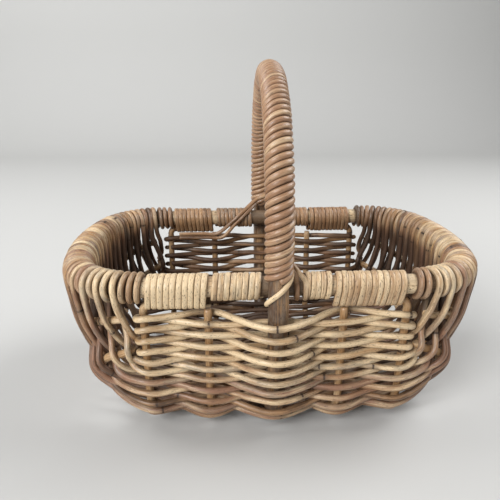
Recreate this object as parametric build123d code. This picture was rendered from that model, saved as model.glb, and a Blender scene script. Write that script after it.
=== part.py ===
from build123d import *
import math
import os

# A garden trug of whole rattan canes, in millimetres.
#
# A spliced cane rim and a spliced cane hoop, which is the handle, the middle rib and the keel
# in one, carry four upright ribs and four end ribs. Long canes are woven over and under the ribs
# from end to end, and their ends loop over the rim. Shorter canes fill the faces and the base
# and turn back round the corner ribs. Thinner canes are wound round the handle and the straight
# sides of the rim, and a few more lash the handle to the rim.
#
# X runs along the basket, Y from front to back and Z up. The origin is on the ground under the
# middle of the basket.

# Canes
RIM_D = 16.5
HOOP_D = 16.5
RIB_D = 7.0
END_RIB_D = 7.0
WEAVER_D = 5.2
HANDLE_WRAP_D = 3.4
RIM_WRAP_D = 4.0
LASHING_D = 4.0
CLEARANCE = 0.3
WEAVE_GAP = 0.6

# Rim, measured on the cane's middle line
RIM_LENGTH = 375.0
RIM_WIDTH = 222.0
RIM_HEIGHT = 149.0
RIM_STRAIGHT = 232.0
RIM_CORNER_R = 66.0
SPLICE_GAP = 0.3

# Walls and base, measured on the ribs' middle lines
WALL_TOP_DROP = 15.5
WALL_TOP_OUT = 1.5
WALL_LEAN = 3.0
BASE_CORNER_R = 42.0
GROUND_FLAT = 0.4

# Handle hoop
HANDLE_HEIGHT = 333.0
KEEL_RISE_SHARE = 0.45

# Ribs
CROSS_RIB_X = 59.0
CORNER_RIB_X = 114.0
CORNER_BEND = 10.0
TIE_INNER_SHARE = 0.53
LOW_END_RIB_SHARE = 0.42
HIGH_END_RIB_SHARE = 0.74
END_RIB_LANE = 1.0
END_STEP_SHARE = 0.01

# Weave
ROW_PITCH = 5.75
FIRST_ROW_DROP = 26.0
FACE_SHORT_ROWS = 8
FACE_LONG_ROWS = 12
BASE_LONG_PAIRS = 8
TAIL_END_SHARE = 0.62
HOOK_TURN = 80.0

# Windings on the rim: where each stretch starts and stops, as shares of the corner ribs' distance
FRONT_WRAP_SHARES = {
    "left_long": (-0.925, -0.51),
    "left_short": (-0.475, -0.13),
    "right_short": (0.235, 0.425),
    "right_long": (0.46, 0.925),
}
BACK_WRAP_SHARES = {
    "left_long": (-0.925, -0.55),
    "left_short": (-0.475, -0.13),
    "right_short": (0.13, 0.475),
    "right_long": (0.53, 0.925),
}
WRAP_PITCH = 5.6
CORNER_WRAP_PITCH = 5.4
CORNER_TURNS = 2

# Windings and lashings on the handle
HANDLE_STRANDS = 4
HANDLE_LEAD = 24.0
HANDLE_WRAP_END = 14.0
LASHING_SLANT = 55.0

# Smooth paths
ARC_SHARE = 0.46
SETTLE_ROUNDS = 8
STRAIGHT_ENOUGH = 1e-4


def unit(angle):
    """The direction at an angle in degrees, in a plane's own two axes."""
    return math.cos(math.radians(angle)), math.sin(math.radians(angle))


# Smooth paths and tubes


def rounding(before, corner, after):
    """The arc that rounds one corner: where it starts, its middle and where it ends."""
    back, ahead = before - corner, after - corner
    half = math.radians(back.get_angle(ahead)) / 2
    if math.cos(half) < STRAIGHT_ENOUGH:
        return corner, corner, corner
    reach = ARC_SHARE * min(back.length, ahead.length)
    radius = reach * math.tan(half)
    inward = (back.normalized() + ahead.normalized()).normalized()
    middle = corner + inward * (radius / math.sin(half) - radius)
    return corner + back.normalized() * reach, middle, corner + ahead.normalized() * reach


def corners_through(points):
    """Corners whose rounding arcs pass through the given points."""
    corners = list(points)
    for _ in range(SETTLE_ROUNDS):
        for i in range(1, len(points) - 1):
            middle = rounding(corners[i - 1], corners[i], corners[i + 1])[1]
            corners[i] = corners[i] + (points[i] - middle)
    return corners


def half_way(first, second, third):
    """A place half way from the first point to the second, on the arc through all three."""
    near, far = second - first, third - second
    if near.cross(far).length < STRAIGHT_ENOUGH * near.length * far.length:
        return (first + second) / 2
    return Edge.make_three_point_arc(first, second, third) @ (near.length / (near.length + far.length) / 2)


def smooth_path(points):
    """Straight runs joined by tangent arcs, through the given points and two more near the ends."""
    points = [Vector(*p) for p in points]
    points.insert(1, half_way(*points[:3]))
    points.insert(-1, half_way(*points[:-4:-1]))
    corners = corners_through(points)
    edges, start = [], corners[0]
    for before, corner, after in zip(corners, corners[1:], corners[2:]):
        into, middle, out = rounding(before, corner, after)
        if into != out:
            edges += [Edge.make_line(start, into), Edge.make_three_point_arc(into, middle, out)]
            start = out
    edges.append(Edge.make_line(start, corners[-1]))
    return Wire(edges)


def tube(path, diameter):
    """A round cane along a path."""
    section = Plane(path @ 0, z_dir=path % 0) * Circle(diameter / 2)
    return sweep(section, path=path).solid()


def cane(points, diameter):
    """A round cane through the given points."""
    return tube(smooth_path(points), diameter)


# The rim's shape

HALF_STRAIGHT = RIM_STRAIGHT / 2
HALF_WIDTH = RIM_WIDTH / 2
HALF_LENGTH = RIM_LENGTH / 2
END_BULGE = HALF_LENGTH - HALF_STRAIGHT
END_R = (END_BULGE**2 + (HALF_WIDTH - RIM_CORNER_R) ** 2 - RIM_CORNER_R**2) / (
    2 * (END_BULGE - RIM_CORNER_R)
)
END_CENTRE = HALF_LENGTH - END_R
END_ANGLE = math.degrees(math.atan2(HALF_WIDTH - RIM_CORNER_R, HALF_STRAIGHT - END_CENTRE))
CORNER_LENGTH = math.radians(90 - END_ANGLE) * RIM_CORNER_R
END_LENGTH = 2 * CORNER_LENGTH + 2 * math.radians(END_ANGLE) * END_R


def rim_end(side, along):
    """A place on the rim's end, and the level direction outwards, from the front to the back.

    The end is a corner arc, a wide end arc and a corner arc. side is -1 left and 1 right, and
    along is the length from the front corner's start.
    """
    if along > END_LENGTH / 2:
        (x, y), (nx, ny) = rim_end(side, END_LENGTH - along)
        return (x, -y), (nx, -ny)
    if along < CORNER_LENGTH:
        nx, ny = unit(-90 + math.degrees(along / RIM_CORNER_R))
        x, y = HALF_STRAIGHT + RIM_CORNER_R * nx, RIM_CORNER_R - HALF_WIDTH + RIM_CORNER_R * ny
    else:
        nx, ny = unit(-END_ANGLE + math.degrees((along - CORNER_LENGTH) / END_R))
        x, y = END_CENTRE + END_R * nx, END_R * ny
    return (side * x, y), (side * nx, ny)


# The cross section: front wall, rounded corner, base, rounded corner, back wall

OVER_RIB = (RIB_D + WEAVER_D) / 2 + WEAVE_GAP
OVER_HOOP = (HOOP_D + WEAVER_D) / 2 + WEAVE_GAP
BASE_Z = WEAVER_D / 2 - GROUND_FLAT + OVER_RIB
KEEL_Z = WEAVER_D / 2 - GROUND_FLAT + OVER_HOOP
LEAN_IN, LEAN_DOWN = math.sin(math.radians(WALL_LEAN)), math.cos(math.radians(WALL_LEAN))
WALL_TOP_Z = RIM_HEIGHT - WALL_TOP_DROP
WALL_TOP_Y = HALF_WIDTH + WALL_TOP_OUT
WALL_FOOT_Z = BASE_Z + BASE_CORNER_R * (1 - LEAN_IN)
WALL_RUN = (WALL_TOP_Z - WALL_FOOT_Z) / LEAN_DOWN
WALL_FOOT_Y = WALL_TOP_Y - WALL_RUN * LEAN_IN
BASE_HALF = WALL_FOOT_Y - BASE_CORNER_R * LEAN_DOWN
BEND_RUN = BASE_CORNER_R * math.radians(90 - WALL_LEAN)
SECTION_RUN = 2 * (WALL_RUN + BEND_RUN + BASE_HALF)


def section(run):
    """A place on the cross section (y, z) and the direction outwards, by length from the front."""
    if run > SECTION_RUN / 2:
        (y, z), (ny, nz) = section(SECTION_RUN - run)
        return (-y, z), (-ny, nz)
    if run < WALL_RUN:
        down = WALL_TOP_Z - run * LEAN_DOWN
        return (-WALL_TOP_Y + run * LEAN_IN, down), (-LEAN_DOWN, -LEAN_IN)
    if run < WALL_RUN + BEND_RUN:
        ny, nz = unit(180 + WALL_LEAN + math.degrees((run - WALL_RUN) / BASE_CORNER_R))
        return (-BASE_HALF + BASE_CORNER_R * ny, BASE_Z + BASE_CORNER_R + BASE_CORNER_R * nz), (ny, nz)
    return (run - SECTION_RUN / 2, BASE_Z), (0.0, -1.0)


# The hoop stands outside the rim and sinks into the base as it goes round the corner
HOOP_OUT = (RIM_D + HOOP_D) / 2 + CLEARANCE - WALL_TOP_OUT
KEEL_IN = KEEL_Z - BASE_Z


SINK_START = KEEL_RISE_SHARE * WALL_RUN
SINK_RUN = WALL_RUN + BEND_RUN - SINK_START


def hoop_offset(run):
    """How far outside the ribs' middle line the hoop's lies, by length along the section."""
    done = (min(run, SECTION_RUN - run) - SINK_START) / SINK_RUN
    ease = (1 - math.cos(math.pi * min(max(done, 0), 1))) / 2
    return HOOP_OUT - (KEEL_IN + HOOP_OUT) * ease


def on_section(x, run, out=0.0):
    """A point on the cross section at x, out from the ribs' middle line."""
    (y, z), (ny, nz) = section(run)
    return (x, y + out * ny, z + out * nz)


# Rows of the weave

FIRST_RUN = (FIRST_ROW_DROP - WALL_TOP_DROP) / LEAN_DOWN
FACE_ROWS = FACE_SHORT_ROWS + FACE_LONG_ROWS
ROW_COUNT = 2 * round((SECTION_RUN - 2 * FIRST_RUN) / ROW_PITCH / 2) + 2
BASE_ROWS = ROW_COUNT - 2 * FACE_ROWS
ROW_STEP = (SECTION_RUN - 2 * FIRST_RUN) / (ROW_COUNT - 1)


def row_run(row):
    """The length along the section at which a row lies."""
    return FIRST_RUN + row * ROW_STEP


def base_kinds():
    """Pairs of long and short rows across the base, spread evenly."""
    pairs = BASE_ROWS // 2
    long_pairs = {int((i + 0.5) * pairs / BASE_LONG_PAIRS) for i in range(BASE_LONG_PAIRS)}
    return [kind for i in range(pairs) for kind in 2 * ["long" if i in long_pairs else "short"]]


FACE_KINDS = ["short"] * FACE_SHORT_ROWS + ["long"] * FACE_LONG_ROWS
ROW_KINDS = FACE_KINDS + base_kinds() + FACE_KINDS[::-1]
LONG_INDEX = [row for row, kind in enumerate(ROW_KINDS) if kind == "long"]
CORNER_WRAP_START = CORNER_RIB_X + RIM_WRAP_D / 2 + CLEARANCE
CORNER_WRAP_STOP = CORNER_WRAP_START + CORNER_TURNS * CORNER_WRAP_PITCH
LOOP_START = CORNER_WRAP_STOP - HALF_STRAIGHT + (RIM_WRAP_D + WEAVER_D) / 2 + 4 * WEAVE_GAP
LOOP_STEP = (END_LENGTH - 2 * LOOP_START) / (len(LONG_INDEX) - 1)
END_START_X = CORNER_RIB_X + OVER_RIB + WEAVER_D + WEAVE_GAP


def end_place(side, foot, head, share):
    """A place on the end wall's middle surface: see end_point."""
    y, z = section(foot)[0]
    (rx, ry), _ = rim_end(side, head)
    reach, rise = math.sin(math.pi / 2 * share), 1 - math.cos(math.pi / 2 * share)
    x = side * END_START_X
    return Vector(x + (rx - x) * reach, y + (ry - y) * reach, z + (RIM_HEIGHT - z) * rise)


def end_point(side, foot, head, share, out=0.0):
    """A point on the end wall, out from its middle surface.

    The surface rises like a quarter of an ellipse, level just past the corner rib (share 0)
    and upright at the rim (share 1). foot is the length along the section where the quarter
    starts, and head the length along the rim's end where it would arrive.
    """
    step = END_STEP_SHARE
    near, far = max(share - step, 0), min(share + step, 1)
    along = end_place(side, foot, head, far) - end_place(side, foot, head, near)
    low = end_place(side, foot - ROW_STEP, head - LOOP_STEP, share)
    high = end_place(side, foot + ROW_STEP, head + LOOP_STEP, share)
    outward = (high - low).cross(along).normalized() * side
    return end_place(side, foot, head, share) + outward * out


def lane(number):
    """The foot and head, on the end wall, of a long row; a fraction lies between two rows."""
    low = min(int(number), len(LONG_INDEX) - 2)
    part = number - low
    row = LONG_INDEX[low] * (1 - part) + LONG_INDEX[low + 1] * part
    return row_run(row), LOOP_START + number * LOOP_STEP


def sign(row):
    """1 where the row passes outside the hoop, the corner ribs and the high end ribs."""
    return 1 if row % 2 == 0 else -1


LOOP_R = (RIM_D + WEAVER_D) / 2 + WEAVE_GAP
OVER_END_RIB = (END_RIB_D + WEAVER_D) / 2 + WEAVE_GAP


def rim_turn(side, head, start, stop, steps):
    """Points round the rim, from one angle to another, 0 outwards and 90 on top."""
    (x, y), (nx, ny) = rim_end(side, head)
    points = []
    for i in range(steps + 1):
        out, up = unit(start + (stop - start) * i / steps)
        points.append((x + LOOP_R * out * nx, y + LOOP_R * out * ny, RIM_HEIGHT + LOOP_R * up))
    return points


def row_end(side, row):
    """A long row's end, from the corner rib up the end wall and over the rim."""
    foot, head = lane(LONG_INDEX.index(row))
    over = sign(row) * OVER_END_RIB
    low, high = LOW_END_RIB_SHARE, HIGH_END_RIB_SHARE
    between, near_rim = (low + high) / 2, (high + 1) / 2
    inside = -OVER_END_RIB - WEAVER_D - CLEARANCE
    places = [(low / 2, 0.0), (low, -over), (between, 0.0), (high, over)]
    places.append((near_rim, sign(row) * (LOOP_R + OVER_END_RIB) / 2))
    points = [end_point(side, foot, head, share, out) for share, out in places]
    if sign(row) < 0:
        return points + rim_turn(side, head, 180, -HOOK_TURN, 6)
    tail = [(near_rim, -LOOP_R), (high, inside), (TAIL_END_SHARE, inside)]
    points += rim_turn(side, head, 0, 180, 4)
    return points + [end_point(side, foot, head, share, out) for share, out in tail]


def row_middle(row):
    """A row's stretch between the corner ribs: its points over and under the ribs."""
    run, over = row_run(row), sign(row)
    slope = (hoop_offset(run + WEAVER_D) - hoop_offset(run - WEAVER_D)) / (2 * WEAVER_D)
    hoop = hoop_offset(run) + over * OVER_HOOP * math.hypot(1, slope)
    between = (CROSS_RIB_X + CORNER_RIB_X) / 2
    right = [
        on_section(CROSS_RIB_X, run, -over * OVER_RIB),
        on_section(between, run),
        on_section(CORNER_RIB_X, run, over * OVER_RIB),
    ]
    left = [(-x, y, z) for x, y, z in right[::-1]]
    return [*left, on_section(0.0, run, hoop), *right]


def flatten(solid):
    """The cane cut flat where it stands on the ground."""
    box = solid.bounding_box()
    if box.min.Z >= 0:
        return solid
    length, width = box.size.X + WEAVER_D, box.size.Y + WEAVER_D
    below = Box(length, width, WEAVER_D, align=(Align.CENTER, Align.CENTER, Align.MAX))
    return (solid - Pos(box.center().X, box.center().Y, 0) * below).solid()


def long_cane(row):
    """One cane from rim end to rim end."""
    left, right = row_end(-1, row), row_end(1, row)
    return flatten(cane(left[::-1] + row_middle(row) + right, WEAVER_D))


def turn_back(side, row):
    """Points round a corner rib, from a row's outside to the next row's inside."""
    points = []
    for i in (1, 2, 3):
        around, out = unit(90 - 180 * i / 4)
        x = side * (CORNER_RIB_X + OVER_RIB * around)
        points.append(on_section(x, row_run(row + i / 4), OVER_RIB * out))
    return points


def short_cane(row, side):
    """Two rows of one cane, which turns back round the corner rib on one side."""
    first, second = row_middle(row), row_middle(row + 1)
    if side < 0:
        first, second = first[::-1], second[::-1]
    outer_end = turn_back(-side, row)[:2][::-1]
    return flatten(cane(outer_end + first + turn_back(side, row) + second[::-1], WEAVER_D))


# Rim, hoop and ribs


def rim_arc(side, start, stop):
    """One arc of the rim's end, between two lengths along it."""
    places = [rim_end(side, start + (stop - start) * i / 2)[0] for i in range(3)]
    return Edge.make_three_point_arc(*[Vector(x, y, RIM_HEIGHT) for x, y in places])


def rim_hoop():
    """The rim: one cane bent round and spliced at the back, under a winding."""
    z = RIM_HEIGHT
    bends = [0.0, CORNER_LENGTH, END_LENGTH - CORNER_LENGTH, END_LENGTH]
    splice = sum(BACK_WRAP_SHARES["left_short"]) / 2 * CORNER_RIB_X
    edges = [Edge.make_line((splice + SPLICE_GAP, HALF_WIDTH, z), (HALF_STRAIGHT, HALF_WIDTH, z))]
    edges += [rim_arc(1, bends[i + 1], bends[i]) for i in (2, 1, 0)]
    edges.append(Edge.make_line((HALF_STRAIGHT, -HALF_WIDTH, z), (-HALF_STRAIGHT, -HALF_WIDTH, z)))
    edges += [rim_arc(-1, bends[i], bends[i + 1]) for i in (0, 1, 2)]
    edges.append(Edge.make_line((-HALF_STRAIGHT, HALF_WIDTH, z), (splice, HALF_WIDTH, z)))
    return tube(Wire(edges), RIM_D)


HOOP_Y = WALL_TOP_Y + HOOP_OUT
ARCH_R = HOOP_Y
ARCH_Z = HANDLE_HEIGHT - HOOP_D / 2 - WEAVE_GAP - HANDLE_WRAP_D - ARCH_R
KEEL_STEPS = 12
ARCH_STEPS = 24
LEG_STEPS = 8


def hoop_front():
    """The hoop's middle line from the arch's foot down the front and under, to the middle."""
    runs = [SECTION_RUN / 2 * i / KEEL_STEPS for i in range(1, KEEL_STEPS)]
    keel = [on_section(0.0, run, hoop_offset(run)) for run in runs]
    leg = [ARCH_Z - HOOP_D / 2 * i for i in range(1, LEG_STEPS)]
    return [*[(0.0, -HOOP_Y, z) for z in leg], *keel, (0.0, -SPLICE_GAP / 2, KEEL_Z)]


def handle_hoop():
    """The hoop: handle, middle rib and keel in one, spliced under the middle of the base."""
    front = hoop_front()
    back = [(x, -y, z) for x, y, z in front]
    arch = []
    for i in range(ARCH_STEPS + 1):
        along, up = unit(180 - 180 * i / ARCH_STEPS)
        arch.append((0.0, ARCH_R * along, ARCH_Z + ARCH_R * up))
    return cane(front[::-1] + arch + back, HOOP_D)


RIB_STEPS = 20
TIE_Z = RIM_HEIGHT - (RIM_D + RIB_D) / 2 - CLEARANCE
RIM_WRAP_FOOT = TIE_Z - RIB_D / 2 - CLEARANCE - RIM_WRAP_D


TIE_RUN = (WALL_TOP_Z - TIE_Z) / LEAN_DOWN
TIE_Y = WALL_TOP_Y - TIE_RUN * LEAN_IN


def tie_place(x):
    """The drop and slope of a corner rib's bent end, at a distance from the basket's middle."""
    past = min(max(x - CORNER_RIB_X + CORNER_BEND, 0), CORNER_BEND / 2)
    rest = math.sqrt(CORNER_BEND**2 - past**2)
    return CORNER_BEND - rest, past / rest


def rib_runs(start):
    """Lengths along the section from one wall's top to the other's, evenly spaced between."""
    length = SECTION_RUN - 2 * start
    steps = [start + length * (i + 0.5) / RIB_STEPS for i in range(RIB_STEPS)]
    return [start, *steps, SECTION_RUN - start]


def cross_rib(side):
    """A rib of thin cane under the basket, which ends below the rim's windings."""
    start = (WALL_TOP_Z - RIM_WRAP_FOOT + CLEARANCE) / LEAN_DOWN
    return cane([on_section(side * CROSS_RIB_X, run) for run in rib_runs(start)], RIB_D)


def corner_rib(side):
    """A rib whose two ends are bent in and run under the rim, where they are bound to it."""
    inner = CORNER_RIB_X * TIE_INNER_SHARE
    bend = [unit(angle) for angle in (90, 60, 30)]
    places = [(CORNER_RIB_X - CORNER_BEND * (1 - x), TIE_RUN + CORNER_BEND * (1 - z)) for x, z in bend]
    places = [(inner, TIE_RUN), ((inner + places[0][0]) / 2, TIE_RUN), *places]
    front = [on_section(side * x, run) for x, run in places]
    back = [(x, -y, z) for x, y, z in front[::-1]]
    wall = [on_section(side * CORNER_RIB_X, run) for run in rib_runs(TIE_RUN + CORNER_BEND)]
    return cane(front + wall + back, RIB_D)


def end_rib(side, share):
    """A rib that runs round the end below the rim, from corner to corner."""
    last = len(LONG_INDEX) - 1
    lanes = [END_RIB_LANE, *[i + 0.5 for i in range(2, last - 1, 2)], last - END_RIB_LANE]
    return cane([end_point(side, *lane(number), share) for number in lanes], END_RIB_D)


# Windings

TURN_ROUND = (RIM_D + RIM_WRAP_D) / 2 + WEAVE_GAP
TURN_UNDER = (RIB_D + RIM_WRAP_D) / 2 + WEAVE_GAP
TURN_STEPS = 8


def rim_place(side, along):
    """A place on the rim's front or back, by length from its middle, and the way outwards."""
    if abs(along) < HALF_STRAIGHT:
        return (along, side * HALF_WIDTH), (0.0, side)
    (x, y), (nx, ny) = rim_end(math.copysign(1, along), abs(along) - HALF_STRAIGHT)
    return (x, -side * y), (nx, -side * ny)


def rim_winding(side, start, stop, turns, long=False):
    """A cane wound round the rim; a long winding holds the rib's end under the rim too.

    side is -1 at the front and 1 at the back.
    """
    points = []
    for i in range(turns * TURN_STEPS + 1):
        across, up = unit(-90 + 360 * i / TURN_STEPS)
        along = start + (stop - start) * i / (turns * TURN_STEPS)
        (x, y), (nx, ny) = rim_place(side, along)
        radius, middle = TURN_ROUND, RIM_HEIGHT
        if long and up < -CLEARANCE:
            drop, slope = tie_place(abs(along))
            radius, middle, y = TURN_UNDER * math.hypot(1, slope), TIE_Z - drop, side * TIE_Y
        points.append((x + radius * across * nx, y + radius * across * ny, middle + radius * up))
    return winding(points, RIM_WRAP_D)


def least_gap(path, diameter):
    """The least gap from one turn of a winding to the next, on points along its middle line."""
    places = []
    for edge in path.edges():
        count = math.ceil(edge.length / (diameter / 2))
        places += [tuple(edge @ (i / count)) for i in range(count)]
    skip = 4 * math.ceil(math.pi)
    pairs = ((one, other) for i, one in enumerate(places) for other in places[i + skip :])
    return min(math.dist(one, other) for one, other in pairs) - diameter


def winding(points, diameter):
    """A wound cane, and the least gap between its turns."""
    path = smooth_path(points)
    return tube(path, diameter), least_gap(path, diameter)


def rim_windings(side, shares):
    """The windings along one side of the rim, by name."""
    places = {"left_corner": (-CORNER_WRAP_STOP, -CORNER_WRAP_START, CORNER_TURNS, False)}
    for name, (start_share, stop_share) in shares.items():
        start, stop = start_share * CORNER_RIB_X, stop_share * CORNER_RIB_X
        places[name] = (start, stop, round((stop - start) / WRAP_PITCH), "long" in name)
    places["right_corner"] = (CORNER_WRAP_START, CORNER_WRAP_STOP, CORNER_TURNS, False)
    return {name: rim_winding(side, *place) for name, place in places.items()}


HANDLE_TURN_R = (HOOP_D + HANDLE_WRAP_D) / 2 + WEAVE_GAP
HANDLE_TURN_STEPS = 6
LEG = ARCH_Z - RIM_HEIGHT - HANDLE_WRAP_END
HANDLE_RUN = 2 * LEG + math.pi * ARCH_R


def hoop_place(along):
    """A place on the handle's middle line and the direction away from its middle, from the front."""
    if along > HANDLE_RUN / 2:
        (y, z), (ny, nz) = hoop_place(HANDLE_RUN - along)
        return (-y, z), (-ny, nz)
    if along < LEG:
        return (-HOOP_Y, ARCH_Z - LEG + along), (-1.0, 0.0)
    ny, nz = unit(180 - math.degrees((along - LEG) / ARCH_R))
    return (ARCH_R * ny, ARCH_Z + ARCH_R * nz), (ny, nz)


def handle_strand(number):
    """One of the canes wound side by side round the handle, as a helix on its middle line."""
    turns = HANDLE_RUN / HANDLE_LEAD
    steps = round(turns * HANDLE_TURN_STEPS)
    points = []
    for i in range(steps + 1):
        (y, z), (ny, nz) = hoop_place(HANDLE_RUN * i / steps)
        out, across = unit(360 * (turns * i / steps + number / HANDLE_STRANDS))
        reach = HANDLE_TURN_R * out
        points.append((HANDLE_TURN_R * across, y + reach * ny, z + reach * nz))
    return winding(points, HANDLE_WRAP_D)


# Lashings between the handle and the rim

BARE_HOOP_R = (HOOP_D + LASHING_D) / 2 + WEAVE_GAP
WOUND_HOOP_R = HOOP_D / 2 + HANDLE_WRAP_D + LASHING_D / 2 + 2 * WEAVE_GAP
BARE_RIM_R = (RIM_D + LASHING_D) / 2 + WEAVE_GAP
WOUND_RIM_R = RIM_D / 2 + RIM_WRAP_D + LASHING_D / 2 + 2 * WEAVE_GAP
LASHING_STEP = LASHING_D + WEAVE_GAP
LASHING_X = HOOP_D / 2 + HANDLE_WRAP_D + LASHING_D


def round_hoop(side, radius, angle, rise):
    """A place round the handle's leg: 0 is right, 90 inwards; rise is above the rim's middle."""
    across, inward = unit(angle)
    return (radius * across, side * (HOOP_Y - radius * inward), RIM_HEIGHT + rise)


def round_rim(side, radius, x, angle):
    """A place round the rim at x: 0 is outwards, 90 on top."""
    out, up = unit(angle)
    return (x, side * (HALF_WIDTH + radius * out), RIM_HEIGHT + radius * up)


def front_lashing():
    """A cane laid slantwise across the handle's foot, with its cut end on the left."""
    angles = [190 + 30 * i for i in range(7)]
    rises = [(i - 1.5) * LASHING_D * 2 / 3 for i in range(7)]
    return cane([round_hoop(-1, BARE_HOOP_R, *place) for place in zip(angles, rises)], LASHING_D)


def right_lashing(number):
    """A cane from behind the handle's foot, round the rim beside it."""
    x, radius = LASHING_X + number * LASHING_STEP, WOUND_HOOP_R + number * LASHING_STEP
    rise = HANDLE_WRAP_END + number * LASHING_D / 2
    hoop_places = ((50, rise + 2 * LASHING_D), (20, rise + LASHING_D / 2))
    start = [round_hoop(-1, radius, angle, height) for angle, height in hoop_places]
    turn = [round_rim(-1, BARE_RIM_R + CLEARANCE, x + LASHING_D / 2 * i / 7, 40 - 34 * i) for i in range(8)]
    return cane(start + turn, LASHING_D)


def back_lashing(number):
    """A cane from the handle's back foot, down over the rim and along under it inside."""
    extra = number * LASHING_STEP
    slant = extra / math.cos(math.radians(LASHING_SLANT))
    inner = HALF_WIDTH - OVER_RIB - WEAVER_D / 2 - LASHING_D / 2 - CLEARANCE
    rise = HANDLE_WRAP_END + extra
    hoop_places = ((60, rise + 2 * LASHING_D), (80, rise + 3 * LASHING_D / 2), (100, rise + LASHING_D))
    start = [round_hoop(1, WOUND_HOOP_R, angle, height) for angle, height in hoop_places]
    x = LASHING_X + slant
    rim_places = ((x, 135), (x + RIM_D / 2, 170), (x + RIM_D, 200))
    over = [round_rim(1, WOUND_RIM_R, -place, angle) for place, angle in rim_places]
    first, last = x + 2 * RIM_D, CORNER_RIB_X - OVER_RIB - WEAVER_D
    low = RIM_WRAP_FOOT + LASHING_D / 2 - LASHING_STEP + extra
    along = [(-first - (last - first) * i / 3, inner, low) for i in range(4)]
    return cane(start + over + along, LASHING_D)


# Files


def write(name, solids):
    """One file per named piece or group of like pieces."""
    solids = solids if isinstance(solids, list) else [solids]
    shape = solids[0] if len(solids) == 1 else Compound(children=solids)
    export_step(shape, f"parts/{name}.step")


def main():
    os.makedirs("parts", exist_ok=True)
    write("rim_hoop", rim_hoop())
    write("handle_hoop", handle_hoop())
    for side, word in ((-1, "left"), (1, "right")):
        write(f"{word}_cross_rib", cross_rib(side))
        write(f"{word}_corner_rib", corner_rib(side))
        write(f"{word}_high_end_rib", end_rib(side, HIGH_END_RIB_SHARE))
        write(f"{word}_low_end_rib", end_rib(side, LOW_END_RIB_SHARE))
    windings = {}
    for side, word, shares in ((-1, "front", FRONT_WRAP_SHARES), (1, "back", BACK_WRAP_SHARES)):
        for name, made in rim_windings(side, shares).items():
            windings[f"{word}_{name}_wrap"] = made
    for number in range(HANDLE_STRANDS):
        windings[f"handle_wrap_{number + 1}"] = handle_strand(number)
    for name, (solid, gap) in windings.items():
        write(name, solid)
        print(f"{name}: least gap to itself {gap:.2f} mm")
    write("front_lashing", front_lashing())
    for number in range(2):
        write(f"right_lashing_{number + 1}", right_lashing(number))
        write(f"back_lashing_{number + 1}", back_lashing(number))
    short_pairs = [row for row, kind in enumerate(ROW_KINDS) if kind == "short" and row % 2 == 0]
    for number, row in enumerate(short_pairs):
        write(f"short_cane_{number + 1}", short_cane(row, 1 if number % 2 else -1))
    for number in range(0, len(LONG_INDEX), 4):
        group = LONG_INDEX[number : number + 4]
        write(f"long_canes_{number // 4 + 1}", [long_cane(row) for row in group])


if __name__ == "__main__":
    main()
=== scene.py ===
"""The looks of a rattan garden trug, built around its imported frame.

Every cane is a profile carried along a curve through places on the basket's own surfaces: the
rounded rectangle of the rim, the cross section of front wall, base and back wall, and the end
walls that rise from it to the rim. Lengths are in metres.
"""

import math

import bpy
import numpy as np
from bpy.props import FloatProperty, FloatVectorProperty, PointerProperty
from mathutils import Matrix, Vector


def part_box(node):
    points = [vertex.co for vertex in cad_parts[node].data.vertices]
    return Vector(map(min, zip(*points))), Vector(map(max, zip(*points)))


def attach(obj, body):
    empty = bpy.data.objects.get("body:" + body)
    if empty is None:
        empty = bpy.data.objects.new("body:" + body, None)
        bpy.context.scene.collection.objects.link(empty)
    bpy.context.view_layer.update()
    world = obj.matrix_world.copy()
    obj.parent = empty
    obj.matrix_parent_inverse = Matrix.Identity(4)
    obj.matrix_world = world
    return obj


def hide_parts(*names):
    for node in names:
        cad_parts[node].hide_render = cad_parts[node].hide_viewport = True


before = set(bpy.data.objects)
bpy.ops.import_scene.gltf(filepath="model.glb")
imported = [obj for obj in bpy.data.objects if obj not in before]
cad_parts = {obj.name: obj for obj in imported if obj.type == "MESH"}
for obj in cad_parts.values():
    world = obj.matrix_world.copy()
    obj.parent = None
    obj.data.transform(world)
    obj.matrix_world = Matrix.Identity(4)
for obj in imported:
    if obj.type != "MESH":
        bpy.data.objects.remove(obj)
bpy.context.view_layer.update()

bl_info = {
    "name": "Rattan Garden Trug",
    "version": (1, 0, 0),
    "blender": (4, 5, 0),
    "location": "View3D > Sidebar > Trug",
    "description": "Builds the canes, windings and lashings of a rattan garden trug",
    "category": "Add Mesh",
}

MM = 0.001

# The rim, the hoop and the ribs as the frame holds them
RIM_LOW, RIM_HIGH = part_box("rim_hoop")
HOOP_LOW, HOOP_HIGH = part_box("handle_hoop")
CROSS_LOW, CROSS_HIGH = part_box("right_cross_rib")
CORNER_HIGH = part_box("right_corner_rib")[1]

RIM_R = (RIM_HIGH[2] - RIM_LOW[2]) / 2
RIM_Z = (RIM_HIGH[2] + RIM_LOW[2]) / 2
HALF_WIDTH = (RIM_HIGH[1] - RIM_LOW[1]) / 2 - RIM_R
HALF_LENGTH = (RIM_HIGH[0] - RIM_LOW[0]) / 2 - RIM_R
HALF_STRAIGHT = 116 * MM
RIM_CORNER_R = 66 * MM

HOOP_R = (HOOP_HIGH[0] - HOOP_LOW[0]) / 2
HOOP_Y = (HOOP_HIGH[1] - HOOP_LOW[1]) / 2 - HOOP_R
ARCH_R = HOOP_Y
ARCH_Z = HOOP_HIGH[2] - HOOP_R - ARCH_R

RIB_R = (CROSS_HIGH[0] - CROSS_LOW[0]) / 2
CROSS_RIB_X = (CROSS_HIGH[0] + CROSS_LOW[0]) / 2
CORNER_RIB_X = CORNER_HIGH[0] - RIB_R
BASE_Z = CROSS_LOW[2] + RIB_R
KEEL_Z = HOOP_LOW[2] + HOOP_R

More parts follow.
